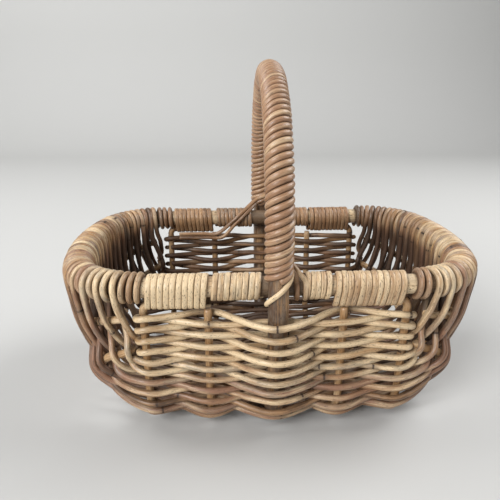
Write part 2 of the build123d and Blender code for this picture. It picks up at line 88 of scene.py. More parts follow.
# The walls' and the base's middle surface, where the ribs lie
WALL_TOP_DROP = 15.5 * MM
WALL_TOP_OUT = 1.5 * MM
WALL_LEAN = math.radians(3)
BASE_CORNER_R = 34 * MM
BASE_RISE = 6 * MM
KEEL_RISE_SHARE = 0.45
END_FULLNESS = 2.8
CORNER_LANE_POWERS = (30, 8, 3, 1.5, 2 / END_FULLNESS)
LOW_END_RIB_SHARE = 0.48
HIGH_END_RIB_SHARE = 0.81
TAIL_END_SHARE = 0.62
CORNER_BEND = 10 * MM
TIE_INNER_SHARE = 0.53

# The solids' weaving and winding canes, and how far apart two canes lie where they cross
WEAVER_CAD_R = 2.6 * MM
WRAP_CAD_D = 4 * MM
CROSS_GAP = 0.6 * MM
CLEARANCE = 0.3 * MM

# Rows of the weave
ROW_PITCH = 5.75 * MM
FIRST_ROW_DROP = 26 * MM
FACE_SHORT_ROWS = 8
FACE_LONG_ROWS = 12
BASE_LONG_PAIRS = 8
LONG_GROUP = 4
ROW_WANDER = 0.25 * MM
FOOT_WANDER = 0.5 * MM
HEAD_WANDER = 0.35 * MM
END_RIB_START = 0.6

# Loops over the rim: places round it in degrees, where 0 is outwards, 90 on top and 180 inside
LOOP_INSIDE = 172
LOOP_OUTSIDE = 8
HOOK_TURN = 82
HOOK_SPREAD = (-6, 16)
TAIL_SPREAD = 0.12
LOOP_OUT_SHARES = (0.55, 0.45)

# Windings: start and stop of each stretch as shares of the corner ribs' distance, and turns
FRONT_WRAP_SHARES = {
    "left_long": (-0.96, -0.51, 10),
    "left_short": (-0.475, -0.115, 8),
    "right_short": (0.215, 0.405, 5),
    "right_long": (0.44, 0.965, 12),
}
BACK_WRAP_SHARES = {
    "left_long": (-0.95, -0.55, 9),
    "left_short": (-0.49, -0.12, 9),
    "right_short": (0.12, 0.5, 9),
    "right_long": (0.53, 0.95, 10),
}
CORNER_TURNS = 2
CORNER_WRAP_PITCH = 5.4 * MM
WRAP_OVERLAP = 1.02
WRAP_FULLNESS = 4.2
CORNER_WRAP_FULLNESS = 2
CORNER_WRAP_DEPTH_SHARE = 1.8
HANDLE_STRANDS = 4
HANDLE_LEAD = 23.6 * MM
HANDLE_WRAP_END = 14 * MM
HANDLE_WRAP_FULLNESS = 2.1

# Traits of the canes: shade from dark to pale, hue from honey to pink, and greyness
RIM_TRAIT = (0.75, 0.2, 0.3)
HOOP_TRAIT = (0.09, 0.15, 0.3)
RIB_TRAIT = (0.52, 0.1, 0.1)
HANDLE_WRAP_TRAIT = (0.46, 0.75, 0.05)
LASHING_TRAITS = {
    "front_lashing": (0.9, 0.1, 0.1),
    "right_lashing_1": (0.42, 0.6, 0.1),
    "right_lashing_2": (0.48, 0.5, 0.1),
    "back_lashing_1": (0.3, 0.6, 0.1),
    "back_lashing_2": (0.38, 0.5, 0.1),
}
WRAP_TRAITS = {
    ("front", "left_corner"): (0.55, 0.4, 0.2),
    ("front", "left_long"): (0.97, 0.05, 0.12),
    ("front", "left_short"): (0.8, 0.15, 0.35),
    ("front", "right_short"): (0.68, 0.35, 0.15),
    ("front", "right_long"): (0.7, 0.35, 0.15),
    ("front", "right_corner"): (0.45, 0.6, 0.3),
    ("back", "left_corner"): (0.3, 0.6, 0.3),
    ("back", "left_long"): (0.42, 0.4, 0.15),
    ("back", "left_short"): (0.36, 0.5, 0.5),
    ("back", "right_short"): (0.38, 0.5, 0.2),
    ("back", "right_long"): (0.38, 0.5, 0.2),
    ("back", "right_corner"): (0.28, 0.6, 0.3),
}
RIB_SHADE_SPREAD = 0.05
HANDLE_SHADE_SPREAD = 0.03
WRAP_TRAIT_SPREAD = 0.02

# Traits of the rows, by their place from the front's top under the base to the back's top; the
# brown of the back is partly the canes' own colour and partly painted shade inside the basket
ROW_PLACES = (0, 0.1, 0.2, 0.3, 0.4, 0.6, 0.7, 0.8, 1)
ROW_SHADES = (0.93, 0.82, 0.48, 0.41, 0.52, 0.52, 0.36, 0.24, 0.22)
ROW_HUES = (0.1, 0.3, 0.65, 0.7, 0.3, 0.3, 0.5, 0.7, 0.7)
ROW_GREY = 0.12
ROW_SHADE_SPREAD = 0.09
ROW_HUE_SPREAD = 0.25
ROW_GREY_SPREAD = 0.22
GREYEST = 0.8

# How a long cane's traits change on the end walls and over the rim, and within what length
END_TRAIT_CHANGE = np.array([-0.15, 0.25, 0.0])
LOOP_TRAIT_CHANGE = np.array([0.1, -0.15, 0.1])
END_SHADE_REACH = 40 * MM
LOOP_SHADE_REACH = 16 * MM

# Sides round canes and steps along them: along a curve, round a winding's turn or a strand's
CANE_SIDES = 14
THICK_CANE_SIDES = 28
SPLIT_CANE_SIDES = 18
CANE_STEP = 2.0 * MM
LASHING_STEP = 1.5 * MM
CURVE_STEPS = 24
LEAST_STEPS = 4
OUTLINE_STEPS = 180
WINDING_STEPS = 44
STRAND_STEPS = 40

# Canes as they grow: node rings, girth, and wanders as a size and a wave length
NODE_SPACING = (110 * MM, 300 * MM)
RING_REACH = 20 * MM
RING_SWELL = 0.07
RING_SWELL_REACH = 2.2 * MM
CUT_END_GIRTH = 0.86
SPLIT_BACK_SHARE = 0.12
WAVE_LENGTHS = np.array([1.0, 0.53, 0.31])
WAVE_SIZES = np.array([0.6, 0.3, 0.2])
GIRTH_SPREAD = 0.035
GIRTH_WANDER = (0.02, 60 * MM)
WEAVER_WANDER = (0.5 * MM, 70 * MM)
STRAND_LIFT_WANDER = (0.2 * MM, 50 * MM)
STRAND_TURN_WANDER = (0.1, 160 * MM)

# A rim winding's wanders along the rim and off it, as a size and a number of turns
WINDING_SLIDE_WANDER = (0.3 * MM, 2.7)
WINDING_LIFT_WANDER = (0.25 * MM, 3.1)

# Painted shade: how far out canes lie unshaded, how it fills the edges of canes and seams of
# windings, and how much lies on the rim and how far beside the hoop's feet
UNSHADED_OUT = 3 * MM
WEAVE_SHADE_REACH = 12 * MM
EDGE_SHADE = 0.55
EDGE_SHADE_GAIN = 2.4
EDGE_SHADE_START = 1.6
SEAM_SHADE = 1.35
SEAM_SHADE_GAIN = 1.6
RIM_PAINTED_SHADE = 0.9
RIM_FOOT_REACH = 26 * MM
TINY = 1e-9

# Where each group of pieces starts its random numbers
RIM_SEED = 11
HOOP_SEED = 12
RIB_SEEDS = {"left": 15, "right": 25}
RIM_WINDING_SEEDS = {"front": 40, "back": 60}
HANDLE_WINDING_SEED = 80
LASHING_SEED = 90
LONG_CANE_SEED = 200
SHORT_CANE_SEED = 300


def turned(angle):
    """The cosine and sine of angles in degrees."""
    return np.cos(np.radians(angle)), np.sin(np.radians(angle))


def unit(vectors):
    """Vectors shortened to length one."""
    return vectors / np.maximum(np.linalg.norm(vectors, axis=-1, keepdims=True), TINY)


# The rim's end: a corner arc, a wide end arc and a corner arc

END_BULGE = HALF_LENGTH - HALF_STRAIGHT
CORNER_Y = HALF_WIDTH - RIM_CORNER_R
END_R = (END_BULGE**2 + CORNER_Y**2 - RIM_CORNER_R**2) / (2 * (END_BULGE - RIM_CORNER_R))
END_CENTRE = HALF_LENGTH - END_R
END_ANGLE = math.atan2(CORNER_Y, HALF_STRAIGHT - END_CENTRE)
CORNER_LENGTH = (math.pi / 2 - END_ANGLE) * RIM_CORNER_R
END_LENGTH = 2 * CORNER_LENGTH + 2 * END_ANGLE * END_R


def rim_end(side, along):
    """Places (x, y) and outward directions on the rim's end, by length from the front corner.

    The first half is a corner arc about (HALF_STRAIGHT, -CORNER_Y) and half of a wide arc about
    (END_CENTRE, 0); the second half is its mirror image in y. side is -1 left and 1 right.
    """
    along = np.asarray(along, float)
    mirror = np.where(along > END_LENGTH / 2, -1.0, 1.0)
    near = np.where(along > END_LENGTH / 2, END_LENGTH - along, along)
    corner = near < CORNER_LENGTH
    angle = np.where(corner, near / RIM_CORNER_R - math.pi / 2, (near - CORNER_LENGTH) / END_R - END_ANGLE)
    radius = np.where(corner, RIM_CORNER_R, END_R)
    nx, ny = np.cos(angle), np.sin(angle)
    x = np.where(corner, HALF_STRAIGHT, END_CENTRE) + radius * nx
    y = np.where(corner, -CORNER_Y, 0.0) + radius * ny
    return side * x, mirror * y, side * nx, mirror * ny


# The cross section: wall, rounded corner, base, rounded corner, wall

OVER_RIB = RIB_R + WEAVER_CAD_R + CROSS_GAP
OVER_HOOP = HOOP_R + WEAVER_CAD_R + CROSS_GAP
LEAN_IN, LEAN_DOWN = math.sin(WALL_LEAN), math.cos(WALL_LEAN)
WALL_TOP_Z = RIM_Z - WALL_TOP_DROP
WALL_TOP_Y = HALF_WIDTH + WALL_TOP_OUT
WALL_RUN = (WALL_TOP_Z - BASE_Z - BASE_CORNER_R * (1 - LEAN_IN)) / LEAN_DOWN
WALL_FOOT_Y = WALL_TOP_Y - WALL_RUN * LEAN_IN
BASE_HALF = WALL_FOOT_Y - BASE_CORNER_R * LEAN_DOWN
BEND_RUN = BASE_CORNER_R * (math.pi / 2 - WALL_LEAN)
SECTION_RUN = 2 * (WALL_RUN + BEND_RUN + BASE_HALF)
HOOP_OUT = HOOP_Y - WALL_TOP_Y
KEEL_IN = KEEL_Z - BASE_Z
SINK_START = KEEL_RISE_SHARE * WALL_RUN
SINK_RUN = WALL_RUN + BEND_RUN - SINK_START


def section(run):
    """Places (y, z) and outward directions on the cross section, by length from the front's top."""
    run = np.asarray(run, float)
    mirror = np.where(run > SECTION_RUN / 2, -1.0, 1.0)
    run = np.where(run > SECTION_RUN / 2, SECTION_RUN - run, run)
    angle = math.pi + WALL_LEAN + np.clip(run - WALL_RUN, 0, BEND_RUN) / BASE_CORNER_R
    ny, nz = np.cos(angle), np.sin(angle)
    y = -BASE_HALF + BASE_CORNER_R * ny + np.maximum(run - WALL_RUN - BEND_RUN, 0)
    z = BASE_Z + BASE_CORNER_R + BASE_CORNER_R * nz
    up = np.maximum(WALL_RUN - run, 0)
    return mirror * (y - up * LEAN_IN), z + up * LEAN_DOWN, mirror * ny, nz


def ease(share):
    """A half cosine that goes from 0 to 1 as the share does."""
    return (1 - np.cos(math.pi * np.clip(share, 0, 1))) / 2


def hoop_offset(run):
    """How far the hoop's middle lies outside the ribs' middle surface."""
    sunk = ease((np.minimum(run, SECTION_RUN - run) - SINK_START) / SINK_RUN)
    return HOOP_OUT - (KEEL_IN + HOOP_OUT) * sunk


def rise(x, z):
    """How much higher than between the cross ribs the base and the walls' feet lie at x."""
    share = ease((np.abs(x) - CROSS_RIB_X) / (CORNER_RIB_X - CROSS_RIB_X))
    return BASE_RISE * share * np.maximum(WALL_TOP_Z - z, 0) / (WALL_TOP_Z - BASE_Z)


def stations(places, across, out=0.0):
    """Places, the directions that lie across a path there, and how far out of the wall it is."""
    places, across = np.broadcast_arrays(np.asarray(places, float), np.asarray(across, float))
    out = np.broadcast_to(np.asarray(out, float)[..., None], (*places.shape[:-1], 1))
    table = np.concatenate([places, across, out], axis=-1)
    return table.reshape(-1, table.shape[-1])


def on_section(x, run, out=0.0):
    """Stations on the cross section, out from the ribs' middle surface, with the run across."""
    x, run, out = np.broadcast_arrays(*[np.asarray(v, float) for v in (x, run, out)])
    y, z, ny, nz = section(run)
    places = np.stack([x, y + out * ny, z + out * nz + rise(x, z)], -1)
    return stations(places, np.stack([np.zeros_like(x), -nz, ny], -1), out)


# The end walls

FACE_ROWS = FACE_SHORT_ROWS + FACE_LONG_ROWS
FIRST_RUN = (FIRST_ROW_DROP - WALL_TOP_DROP) / LEAN_DOWN
ROW_COUNT = 2 * round((SECTION_RUN - 2 * FIRST_RUN) / ROW_PITCH / 2) + 2
BASE_PAIRS = ROW_COUNT // 2 - FACE_ROWS
ROW_STEP = (SECTION_RUN - 2 * FIRST_RUN) / (ROW_COUNT - 1)
LONG_PAIRS = {int((i + 0.5) * BASE_PAIRS / BASE_LONG_PAIRS) for i in range(BASE_LONG_PAIRS)}
FACE_KINDS = ["short"] * FACE_SHORT_ROWS + ["long"] * FACE_LONG_ROWS
BASE_KINDS = ["long" if i // 2 in LONG_PAIRS else "short" for i in range(2 * BASE_PAIRS)]
ROW_KINDS = FACE_KINDS + BASE_KINDS + FACE_KINDS[::-1]
LONG_ROWS = [row for row, kind in enumerate(ROW_KINDS) if kind == "long"]
SHORT_ROWS = [row for row, kind in enumerate(ROW_KINDS) if kind == "short" and row % 2 == 0]
CORNER_WRAP_START = CORNER_RIB_X + WRAP_CAD_D / 2 + CLEARANCE
CORNER_WRAP_STOP = CORNER_WRAP_START + CORNER_TURNS * CORNER_WRAP_PITCH
LOOP_START = CORNER_WRAP_STOP - HALF_STRAIGHT + WRAP_CAD_D / 2 + WEAVER_CAD_R + 4 * CROSS_GAP
LOOP_STEP = (END_LENGTH - 2 * LOOP_START) / (len(LONG_ROWS) - 1)
END_START_X = CORNER_RIB_X + OVER_RIB + 2 * WEAVER_CAD_R + CROSS_GAP


def row_run(row):
    """The length along the section at which a row lies."""
    return FIRST_RUN + row * ROW_STEP


def end_surface(side, foot, head, share):
    """Places on the end wall: a quarter of a full ellipse from the section's place past the
    corner rib at foot to the rim's place at head.

    With c and s for the cosine and sine of the share's part of a right angle, the reach is
    s ** (2 / fullness) and the height 1 - c ** (2 / fullness). The lanes next to the corner ribs
    have higher powers of s, so they climb beside the rib and reach out to the rim late.
    """
    y, z, _, _ = section(foot)
    z = z + rise(CORNER_RIB_X, z)
    rim_x, rim_y, _, _ = rim_end(side, head)
    up, across = turned(90 * np.clip(share, 0, 1))
    lane_number = (np.minimum(head, END_LENGTH - head) - LOOP_START) / LOOP_STEP
    power = np.interp(lane_number, np.arange(len(CORNER_LANE_POWERS)), CORNER_LANE_POWERS)
    reach, height = across**power, 1 - np.maximum(up, 0) ** (2 / END_FULLNESS)
    start = side * END_START_X
    x = start + (rim_x - start) * reach
    return np.stack([x, y + (rim_y - y) * reach, z + (RIM_Z - z) * height], -1)


def on_end(side, foot, head, share, out=0.0):
    """Stations on the end wall, out from its middle surface, and the outward directions.

    The directions are the cross product of the steps across the rows and along them.
    """
    arrays = [np.asarray(v, float) for v in (foot, head, share, out)]
    foot, head, share, out = np.broadcast_arrays(*arrays)
    step = 0.01
    far, near = np.minimum(share + step, 1), np.maximum(share - step, 0)
    along = end_surface(side, foot, head, far) - end_surface(side, foot, head, near)
    ahead = end_surface(side, foot + ROW_STEP, head + LOOP_STEP, share)
    across = unit(ahead - end_surface(side, foot - ROW_STEP, head - LOOP_STEP, share))
    outward = unit(np.cross(across, along)) * side
    places = end_surface(side, foot, head, share) + outward * out[..., None]
    return stations(places, across, out), outward


def lane(number):
    """The foot and the head of a long row by its number; a fraction lies between two rows."""
    number = np.asarray(number, float)
    row = np.interp(number, np.arange(len(LONG_ROWS)), LONG_ROWS)
    return row_run(row), LOOP_START + number * LOOP_STEP


def round_rim(side, head, radius, angles):
    """Stations round the rim's end: 0 degrees is outwards and 90 on top.

    They count as lying out of the wall by the radius times a steady share and a share that
    turns with them.
    """
    x, y, nx, ny = rim_end(side, head)
    out, up = turned(np.asarray(angles, float))
    places = np.stack([x + radius * out * nx, y + radius * out * ny, RIM_Z + radius * up], -1)
    steady, swing = LOOP_OUT_SHARES
    return stations(places, np.array([-ny, nx, 0.0]) * side, radius * (steady + swing * out))


# Curves and the tubes along them


def lengths(points):
    """The length along a curve up to each of its points."""
    return np.concatenate([[0], np.cumsum(np.linalg.norm(np.diff(points, axis=0), axis=1))])


def smooth_curve(control, step=CANE_STEP):
    """A curve through control points, sampled at even steps.

    Each stretch is a cubic whose end slopes come from the neighbouring points, with the square
    root of the distance between points as the parameter. Any further columns follow along.
    """
    control = np.asarray(control, float)
    gap = np.sqrt(np.maximum(np.linalg.norm(np.diff(control[:, :3], axis=0), axis=1), TINY))
    slope = np.diff(control, axis=0) / gap[:, None]
    inner = (slope[:-1] * gap[1:, None] + slope[1:] * gap[:-1, None]) / (gap[1:] + gap[:-1])[:, None]
    tangent = np.vstack([slope[0], inner, slope[-1]])
    t = np.linspace(0, 1, CURVE_STEPS, endpoint=False)[None, :, None]
    start, stop = control[:-1, None], control[1:, None]
    pull_in = tangent[:-1, None] * gap[:, None, None]
    pull_out = tangent[1:, None] * gap[:, None, None]
    fine = (
        start * (2 * t**3 - 3 * t**2 + 1)
        + pull_in * (t**3 - 2 * t**2 + t)
        + stop * (3 * t**2 - 2 * t**3)
        + pull_out * (t**3 - t**2)
    )
    fine = np.vstack([fine.reshape(-1, control.shape[1]), control[-1:]])
    length = lengths(fine[:, :3])
    even = np.linspace(0, length[-1], max(int(length[-1] / step), LEAST_STEPS) + 1)
    return np.stack([np.interp(even, length, column) for column in fine.T], -1)


def wavering(rng, along, amount, reach):
    """A slow random wander along a curve: three sine waves of unlike lengths and phases."""
    waves = reach * WAVE_LENGTHS
    phase = rng.uniform(0, 2 * math.pi, len(waves))
    return np.sin(along[:, None] / waves * 2 * math.pi + phase) @ (amount * WAVE_SIZES)


def ring_distance(rng, along):
    """The distance to the nearest node ring, with rings at random spacings on sampled places."""
    count = int(along[-1] / NODE_SPACING[0]) + 2
    places = np.cumsum(rng.uniform(*NODE_SPACING, count)) - rng.uniform(0, NODE_SPACING[1])
    places = places[(places > 0) & (places < along[-1])]
    if not len(places):
        return np.full_like(along, RING_REACH)
    places = along[np.abs(along[:, None] - places).argmin(axis=0)]
    return np.minimum(np.abs(along[:, None] - places).min(axis=1), RING_REACH)


def round_profile(radius, sides=CANE_SIDES):
    """A circle, as offsets across and up."""
    across, up = turned(np.arange(sides) * 360 / sides)
    return np.stack([across, up], -1) * radius


def split_profile(width, depth, fullness):
    """A cane split lengthwise: a rounded top of the given depth on a nearly flat bottom.

    The top is a full ellipse of the given fullness, which squares its shoulders.
    """
    across, up = round_profile(1, SPLIT_CANE_SIDES).T
    x = np.sign(across) * np.abs(across) ** (2 / fullness) * width / 2
    y = np.where(up > 0, np.abs(up) ** (2 / fullness) * depth, up * depth * SPLIT_BACK_SHARE)
    return np.stack([x, y], -1)


class Bundle:
    """Tubes that together make one piece, collected as arrays."""

    def __init__(self, seed):
        self.rng = np.random.default_rng(seed)
        self.places, self.quads, self.caps = [], [], []
        self.grain, self.trait, self.ring, self.dirt = [], [], [], []
        self.count = 0

    def tube(self, points, reference, profile, trait, girth=1.0, rings=True, dirt=None):
        """Carries a profile along a curve.

        reference is the direction that the profile's up leans to, and the tube's own up is its
        part square to the curve. trait is one for the tube or one for each place of the curve.
        The last argument is the painted shade of each place of each profile, from 0 to 1, as deep in
        the weave, on the edges of canes and in the seams of windings. The girth swells at node rings
        and narrows at the cut ends.
        """
        points = np.asarray(points, float)
        reference = np.broadcast_to(np.asarray(reference, float), points.shape)
        along = lengths(points)
        tangent = unit(np.gradient(points, axis=0))
        side = unit(np.cross(tangent, reference))
        up = np.cross(side, tangent)
        ring = ring_distance(self.rng, along) if rings else np.full_like(along, RING_REACH)
        girth = girth * (1 + RING_SWELL * np.exp(-((ring / RING_SWELL_REACH) ** 2)))
        girth = girth * (1 + wavering(self.rng, along, *GIRTH_WANDER))
        girth[[0, -1]] *= CUT_END_GIRTH
        shape = profile[None] * girth[:, None, None]
        grid = points[:, None] + shape[..., :1] * side[:, None] + shape[..., 1:] * up[:, None]
        n, m = grid.shape[:2]
        i, j = np.meshgrid(np.arange(n - 1), np.arange(m), indexing="ij")
        ahead = (j + 1) % m
        quads = np.stack([i * m + j, (i + 1) * m + j, (i + 1) * m + ahead, i * m + ahead], -1)
        self.quads.append(quads.reshape(-1, 4) + self.count)
        self.caps += [self.count + np.arange(m), self.count + (n - 1) * m + np.arange(m)[::-1]]
        self.places.append(grid.reshape(-1, 3))
        offset = self.rng.uniform(-1, 1, 3)
        grain = np.stack([np.broadcast_to(along[:, None], (n, m)), shape[..., 0], shape[..., 1]], -1)
        self.grain.append((grain + offset).reshape(-1, 3))
        self.trait.append(np.repeat(np.broadcast_to(trait, (n, 3)), m, axis=0))
        self.ring.append(np.repeat(ring, m))
        self.dirt.append(np.zeros(n * m) if dirt is None else np.broadcast_to(dirt, (n, m)).ravel())
        self.count += n * m

    def make(self, name, material):
        """The mesh object of all the tubes."""
        places = np.concatenate(self.places).astype(np.float32)
        quads = np.concatenate(self.quads)
        caps = np.concatenate(self.caps)
        counts = np.concatenate([np.full(len(quads), 4), [len(cap) for cap in self.caps]])
        mesh = bpy.data.meshes.new(name)
        mesh.vertices.add(len(places))
        mesh.vertices.foreach_set("co", places.ravel())
        mesh.loops.add(int(counts.sum()))
        mesh.loops.foreach_set("vertex_index", np.concatenate([quads.ravel(), caps]).astype(np.int32))
        mesh.polygons.add(len(counts))
        starts = np.concatenate([[0], np.cumsum(counts)[:-1]])
        mesh.polygons.foreach_set("loop_start", starts.astype(np.int32))
        mesh.polygons.foreach_set("use_smooth", np.arange(len(counts)) < len(quads))
        for label, kind, values in (
            ("grain", "FLOAT_VECTOR", self.grain),
            ("trait", "FLOAT_VECTOR", self.trait),
            ("ring", "FLOAT", self.ring),
            ("dirt", "FLOAT", self.dirt),
        ):
            layer = mesh.attributes.new(label, kind, "POINT")
            field = "vector" if kind == "FLOAT_VECTOR" else "value"
            layer.data.foreach_set(field, np.concatenate(values).astype(np.float32).ravel())
        mesh.update(calc_edges=True)
        mesh.validate()
        mesh.materials.append(material)
        piece = bpy.data.objects.new(name, mesh)
        bpy.context.scene.collection.objects.link(piece)
        return piece


def dress(piece, slot, *nodes):
    """Puts a piece in the place of its nodes of the frame."""
    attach(piece, "root")
    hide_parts(*nodes)


def with_shade_spread(rng, trait, spread):
    """A trait with a chance change of its shade."""
    shade, hue, grey = trait
    return shade + rng.normal(0, spread), hue, grey


# Sizes and colours that a user would change

THINNEST = 0.5 * MM
THICKEST = 50 * MM


def length_property(name, description, default):
    """A size in metres."""
    return FloatProperty(
        name=name,
        description=description,
        default=default,
        min=THINNEST,
        max=THICKEST,
        unit="LENGTH",
        precision=4,
    )


def colour_property(name, description, default):
    """A base colour."""
    return FloatVectorProperty(
        name=name, description=description, default=default, size=3, min=0, max=1, subtype="COLOR"
    )


class TrugSizes(bpy.types.PropertyGroup):
    """Thicknesses of the canes."""

    rim: length_property("Rim radius", "Radius of the thick cane of the rim", 8.8 * MM)
    hoop: length_property("Hoop radius", "Radius of the thick cane of the handle hoop", 8.6 * MM)
    rib: length_property("Rib radius", "Radius of the ribs", 3.6 * MM)
    weaver: length_property("Weaver radius", "Radius of the weaving canes", 2.85 * MM)
    rim_wrap_depth: length_property("Rim winding depth", "Depth of the rim's split cane", 3.2 * MM)
    handle_wrap_width: length_property(
        "Handle winding width", "Width of the handle's split cane", 6.1 * MM
    )
    handle_wrap_depth: length_property(
        "Handle winding depth", "Depth of the handle's split cane", 3.5 * MM
    )
    lashing: length_property("Lashing radius", "Radius of the lashing canes", 2.2 * MM)


class TrugColours(bpy.types.PropertyGroup):
    """Base colours of the canes and the floor."""

    cream: colour_property("Cream", "Palest cane skin, on the front of the rim", (0.72, 0.55, 0.34))
    tan: colour_property("Tan", "Honey coloured cane skin", (0.39, 0.225, 0.10))
    pink: colour_property("Pinkish brown", "Smoked pinkish cane skin", (0.28, 0.145, 0.085))
    # Brown is also mixed into the skin as painted shade deep in the weave, on cane edges and in seams
    brown: colour_property("Brown", "Darkest cane, inside and at the back", (0.075, 0.038, 0.019))
    grey: colour_property("Grey", "Weathered grey mottling", (0.21, 0.19, 0.155))
    mark: colour_property("Marks", "Node rings, specks and scars", (0.035, 0.018, 0.010))
    floor: colour_property("Floor", "The plain floor and backdrop", (0.50, 0.50, 0.49))


def sizes():
    """The sizes of the trug in this scene."""
    return bpy.context.scene.trug_sizes


def colours():
    """The colours of the trug in this scene."""
    return bpy.context.scene.trug_colours


# Materials

# The skin group's inputs: colours and where they come from, and amounts
SKIN_COLOURS = {
    "Pale": "cream",
    "Honey": "tan",
    "Pink": "pink",
    "Dark": "brown",
    "Grey": "grey",
    "Mark": "mark",
}
SKIN_AMOUNTS = ("Specks", "Dirt", "Clouds")
SKIN_RESULTS = {
    "Color": "NodeSocketColor",
    "Roughness": "NodeSocketFloat",
    "Height": "NodeSocketFloat",
}

# Noises of the skin: cells per metre along and across the grain, detail and roughness
CLOUD_NOISE = ((24, 80, 80), 4, 0.55)
STREAK_NOISE = ((30, 900, 900), 3, 0.55)
FIBRE_NOISE = ((90, 2600, 2600), 2, 0.55)
BLOTCH_NOISE = ((85, 240, 240), 3, 0.55)
SPECK_NOISE = ((420, 1300, 1300), 2, 0.55)
SCAR_NOISE = ((150, 700, 700), 2, 0.7)
NOISE_GAIN = 2.2
STREAK_SHARE = 0.36

# Smooth steps of the skin: where each starts and stops, and its two ends where not 0 and 1
WARM_STEP = (0.0, 0.42)
PALE_STEP = (0.38, 0.95)
WEATHERED_STEP = (0.4, 0.6)
SPECK_STEP = (0.59, 0.68)
SCAR_STEP = (0.62, 0.7)
RING_STEP = (0.4 * MM, 1.5 * MM, 1.0, 0.0)
RING_BREAK_STEP = (0.35, 0.5)
HALO_STEP = (0.5 * MM, 9 * MM, 0.9, 0.0)
PAINTED_SHADE_STEP = (0.0, 1.0)
ROUGHNESS_STEP = (-0.6, 1.4, 0.3, 0.7)
RING_FRAY = 1.6 * MM
DEEP_SHARE = 0.5

# Relief of fibres, streaks and rings as shares of a material's own, and the shader's values
FIBRE_RELIEF = 0.5
STREAK_RELIEF = 0.7
RING_RELIEF = 0.8
BUMP_STRENGTH = 0.6
COAT_ROUGHNESS = 0.25
SPECULAR_LEVEL = 0.45


class Tree:
    """A node tree with short ways to add and join nodes."""

    def __init__(self, tree):
        self.tree = tree

    def node(self, kind, **settings):
        """A new node with its properties set."""
        made = self.tree.nodes.new(kind)
        for key, value in settings.items():
            setattr(made, key, value)
        return made

    def put(self, value, socket):
        """Sets a socket to a plain value, or joins another socket to it."""
        if isinstance(value, bpy.types.NodeSocket):
            self.tree.links.new(value, socket)
        elif isinstance(value, (tuple, list)) and len(value) == 3 and socket.type == "RGBA":
            socket.default_value = (*value, 1)
        else:
            socket.default_value = value

    def maths(self, operation, *values, clamp=False):
        """One calculation."""
        made = self.node("ShaderNodeMath", operation=operation, use_clamp=clamp)
        for value, socket in zip(values, made.inputs):
            self.put(value, socket)
        return made.outputs[0]

    def centred(self, value, gain):
        """A value about 0.5 stretched and moved to lie about zero."""
        return self.maths("MULTIPLY", self.maths("SUBTRACT", value, 0.5), gain)

    def noise(self, vector, scales, detail, roughness):
        """Noise from 0 to 1 at a place scaled along each axis."""
        scaled = self.node("ShaderNodeVectorMath", operation="MULTIPLY")
        self.put(vector, scaled.inputs[0])
        self.put(scales, scaled.inputs[1])
        made = self.node("ShaderNodeTexNoise")
        self.put(scaled.outputs[0], made.inputs["Vector"])
        self.put(1.0, made.inputs["Scale"])
        self.put(detail, made.inputs["Detail"])
        self.put(roughness, made.inputs["Roughness"])
        return made.outputs["Fac"]

    def ramp(self, value, low, high, out_low=0.0, out_high=1.0):
        """A smooth step from one value to another."""
        made = self.node("ShaderNodeMapRange", interpolation_type="SMOOTHSTEP")
        for number, socket in zip((value, low, high, out_low, out_high), made.inputs):
            self.put(number, socket)
        return made.outputs[0]

    def mix(self, factor, first, second, blend="MIX"):
        """A mix of two colours."""
        made = self.node("ShaderNodeMix", data_type="RGBA", blend_type=blend)
        self.put(factor, made.inputs[0])
        self.put(first, made.inputs[6])
        self.put(second, made.inputs[7])
        return made.outputs[2]


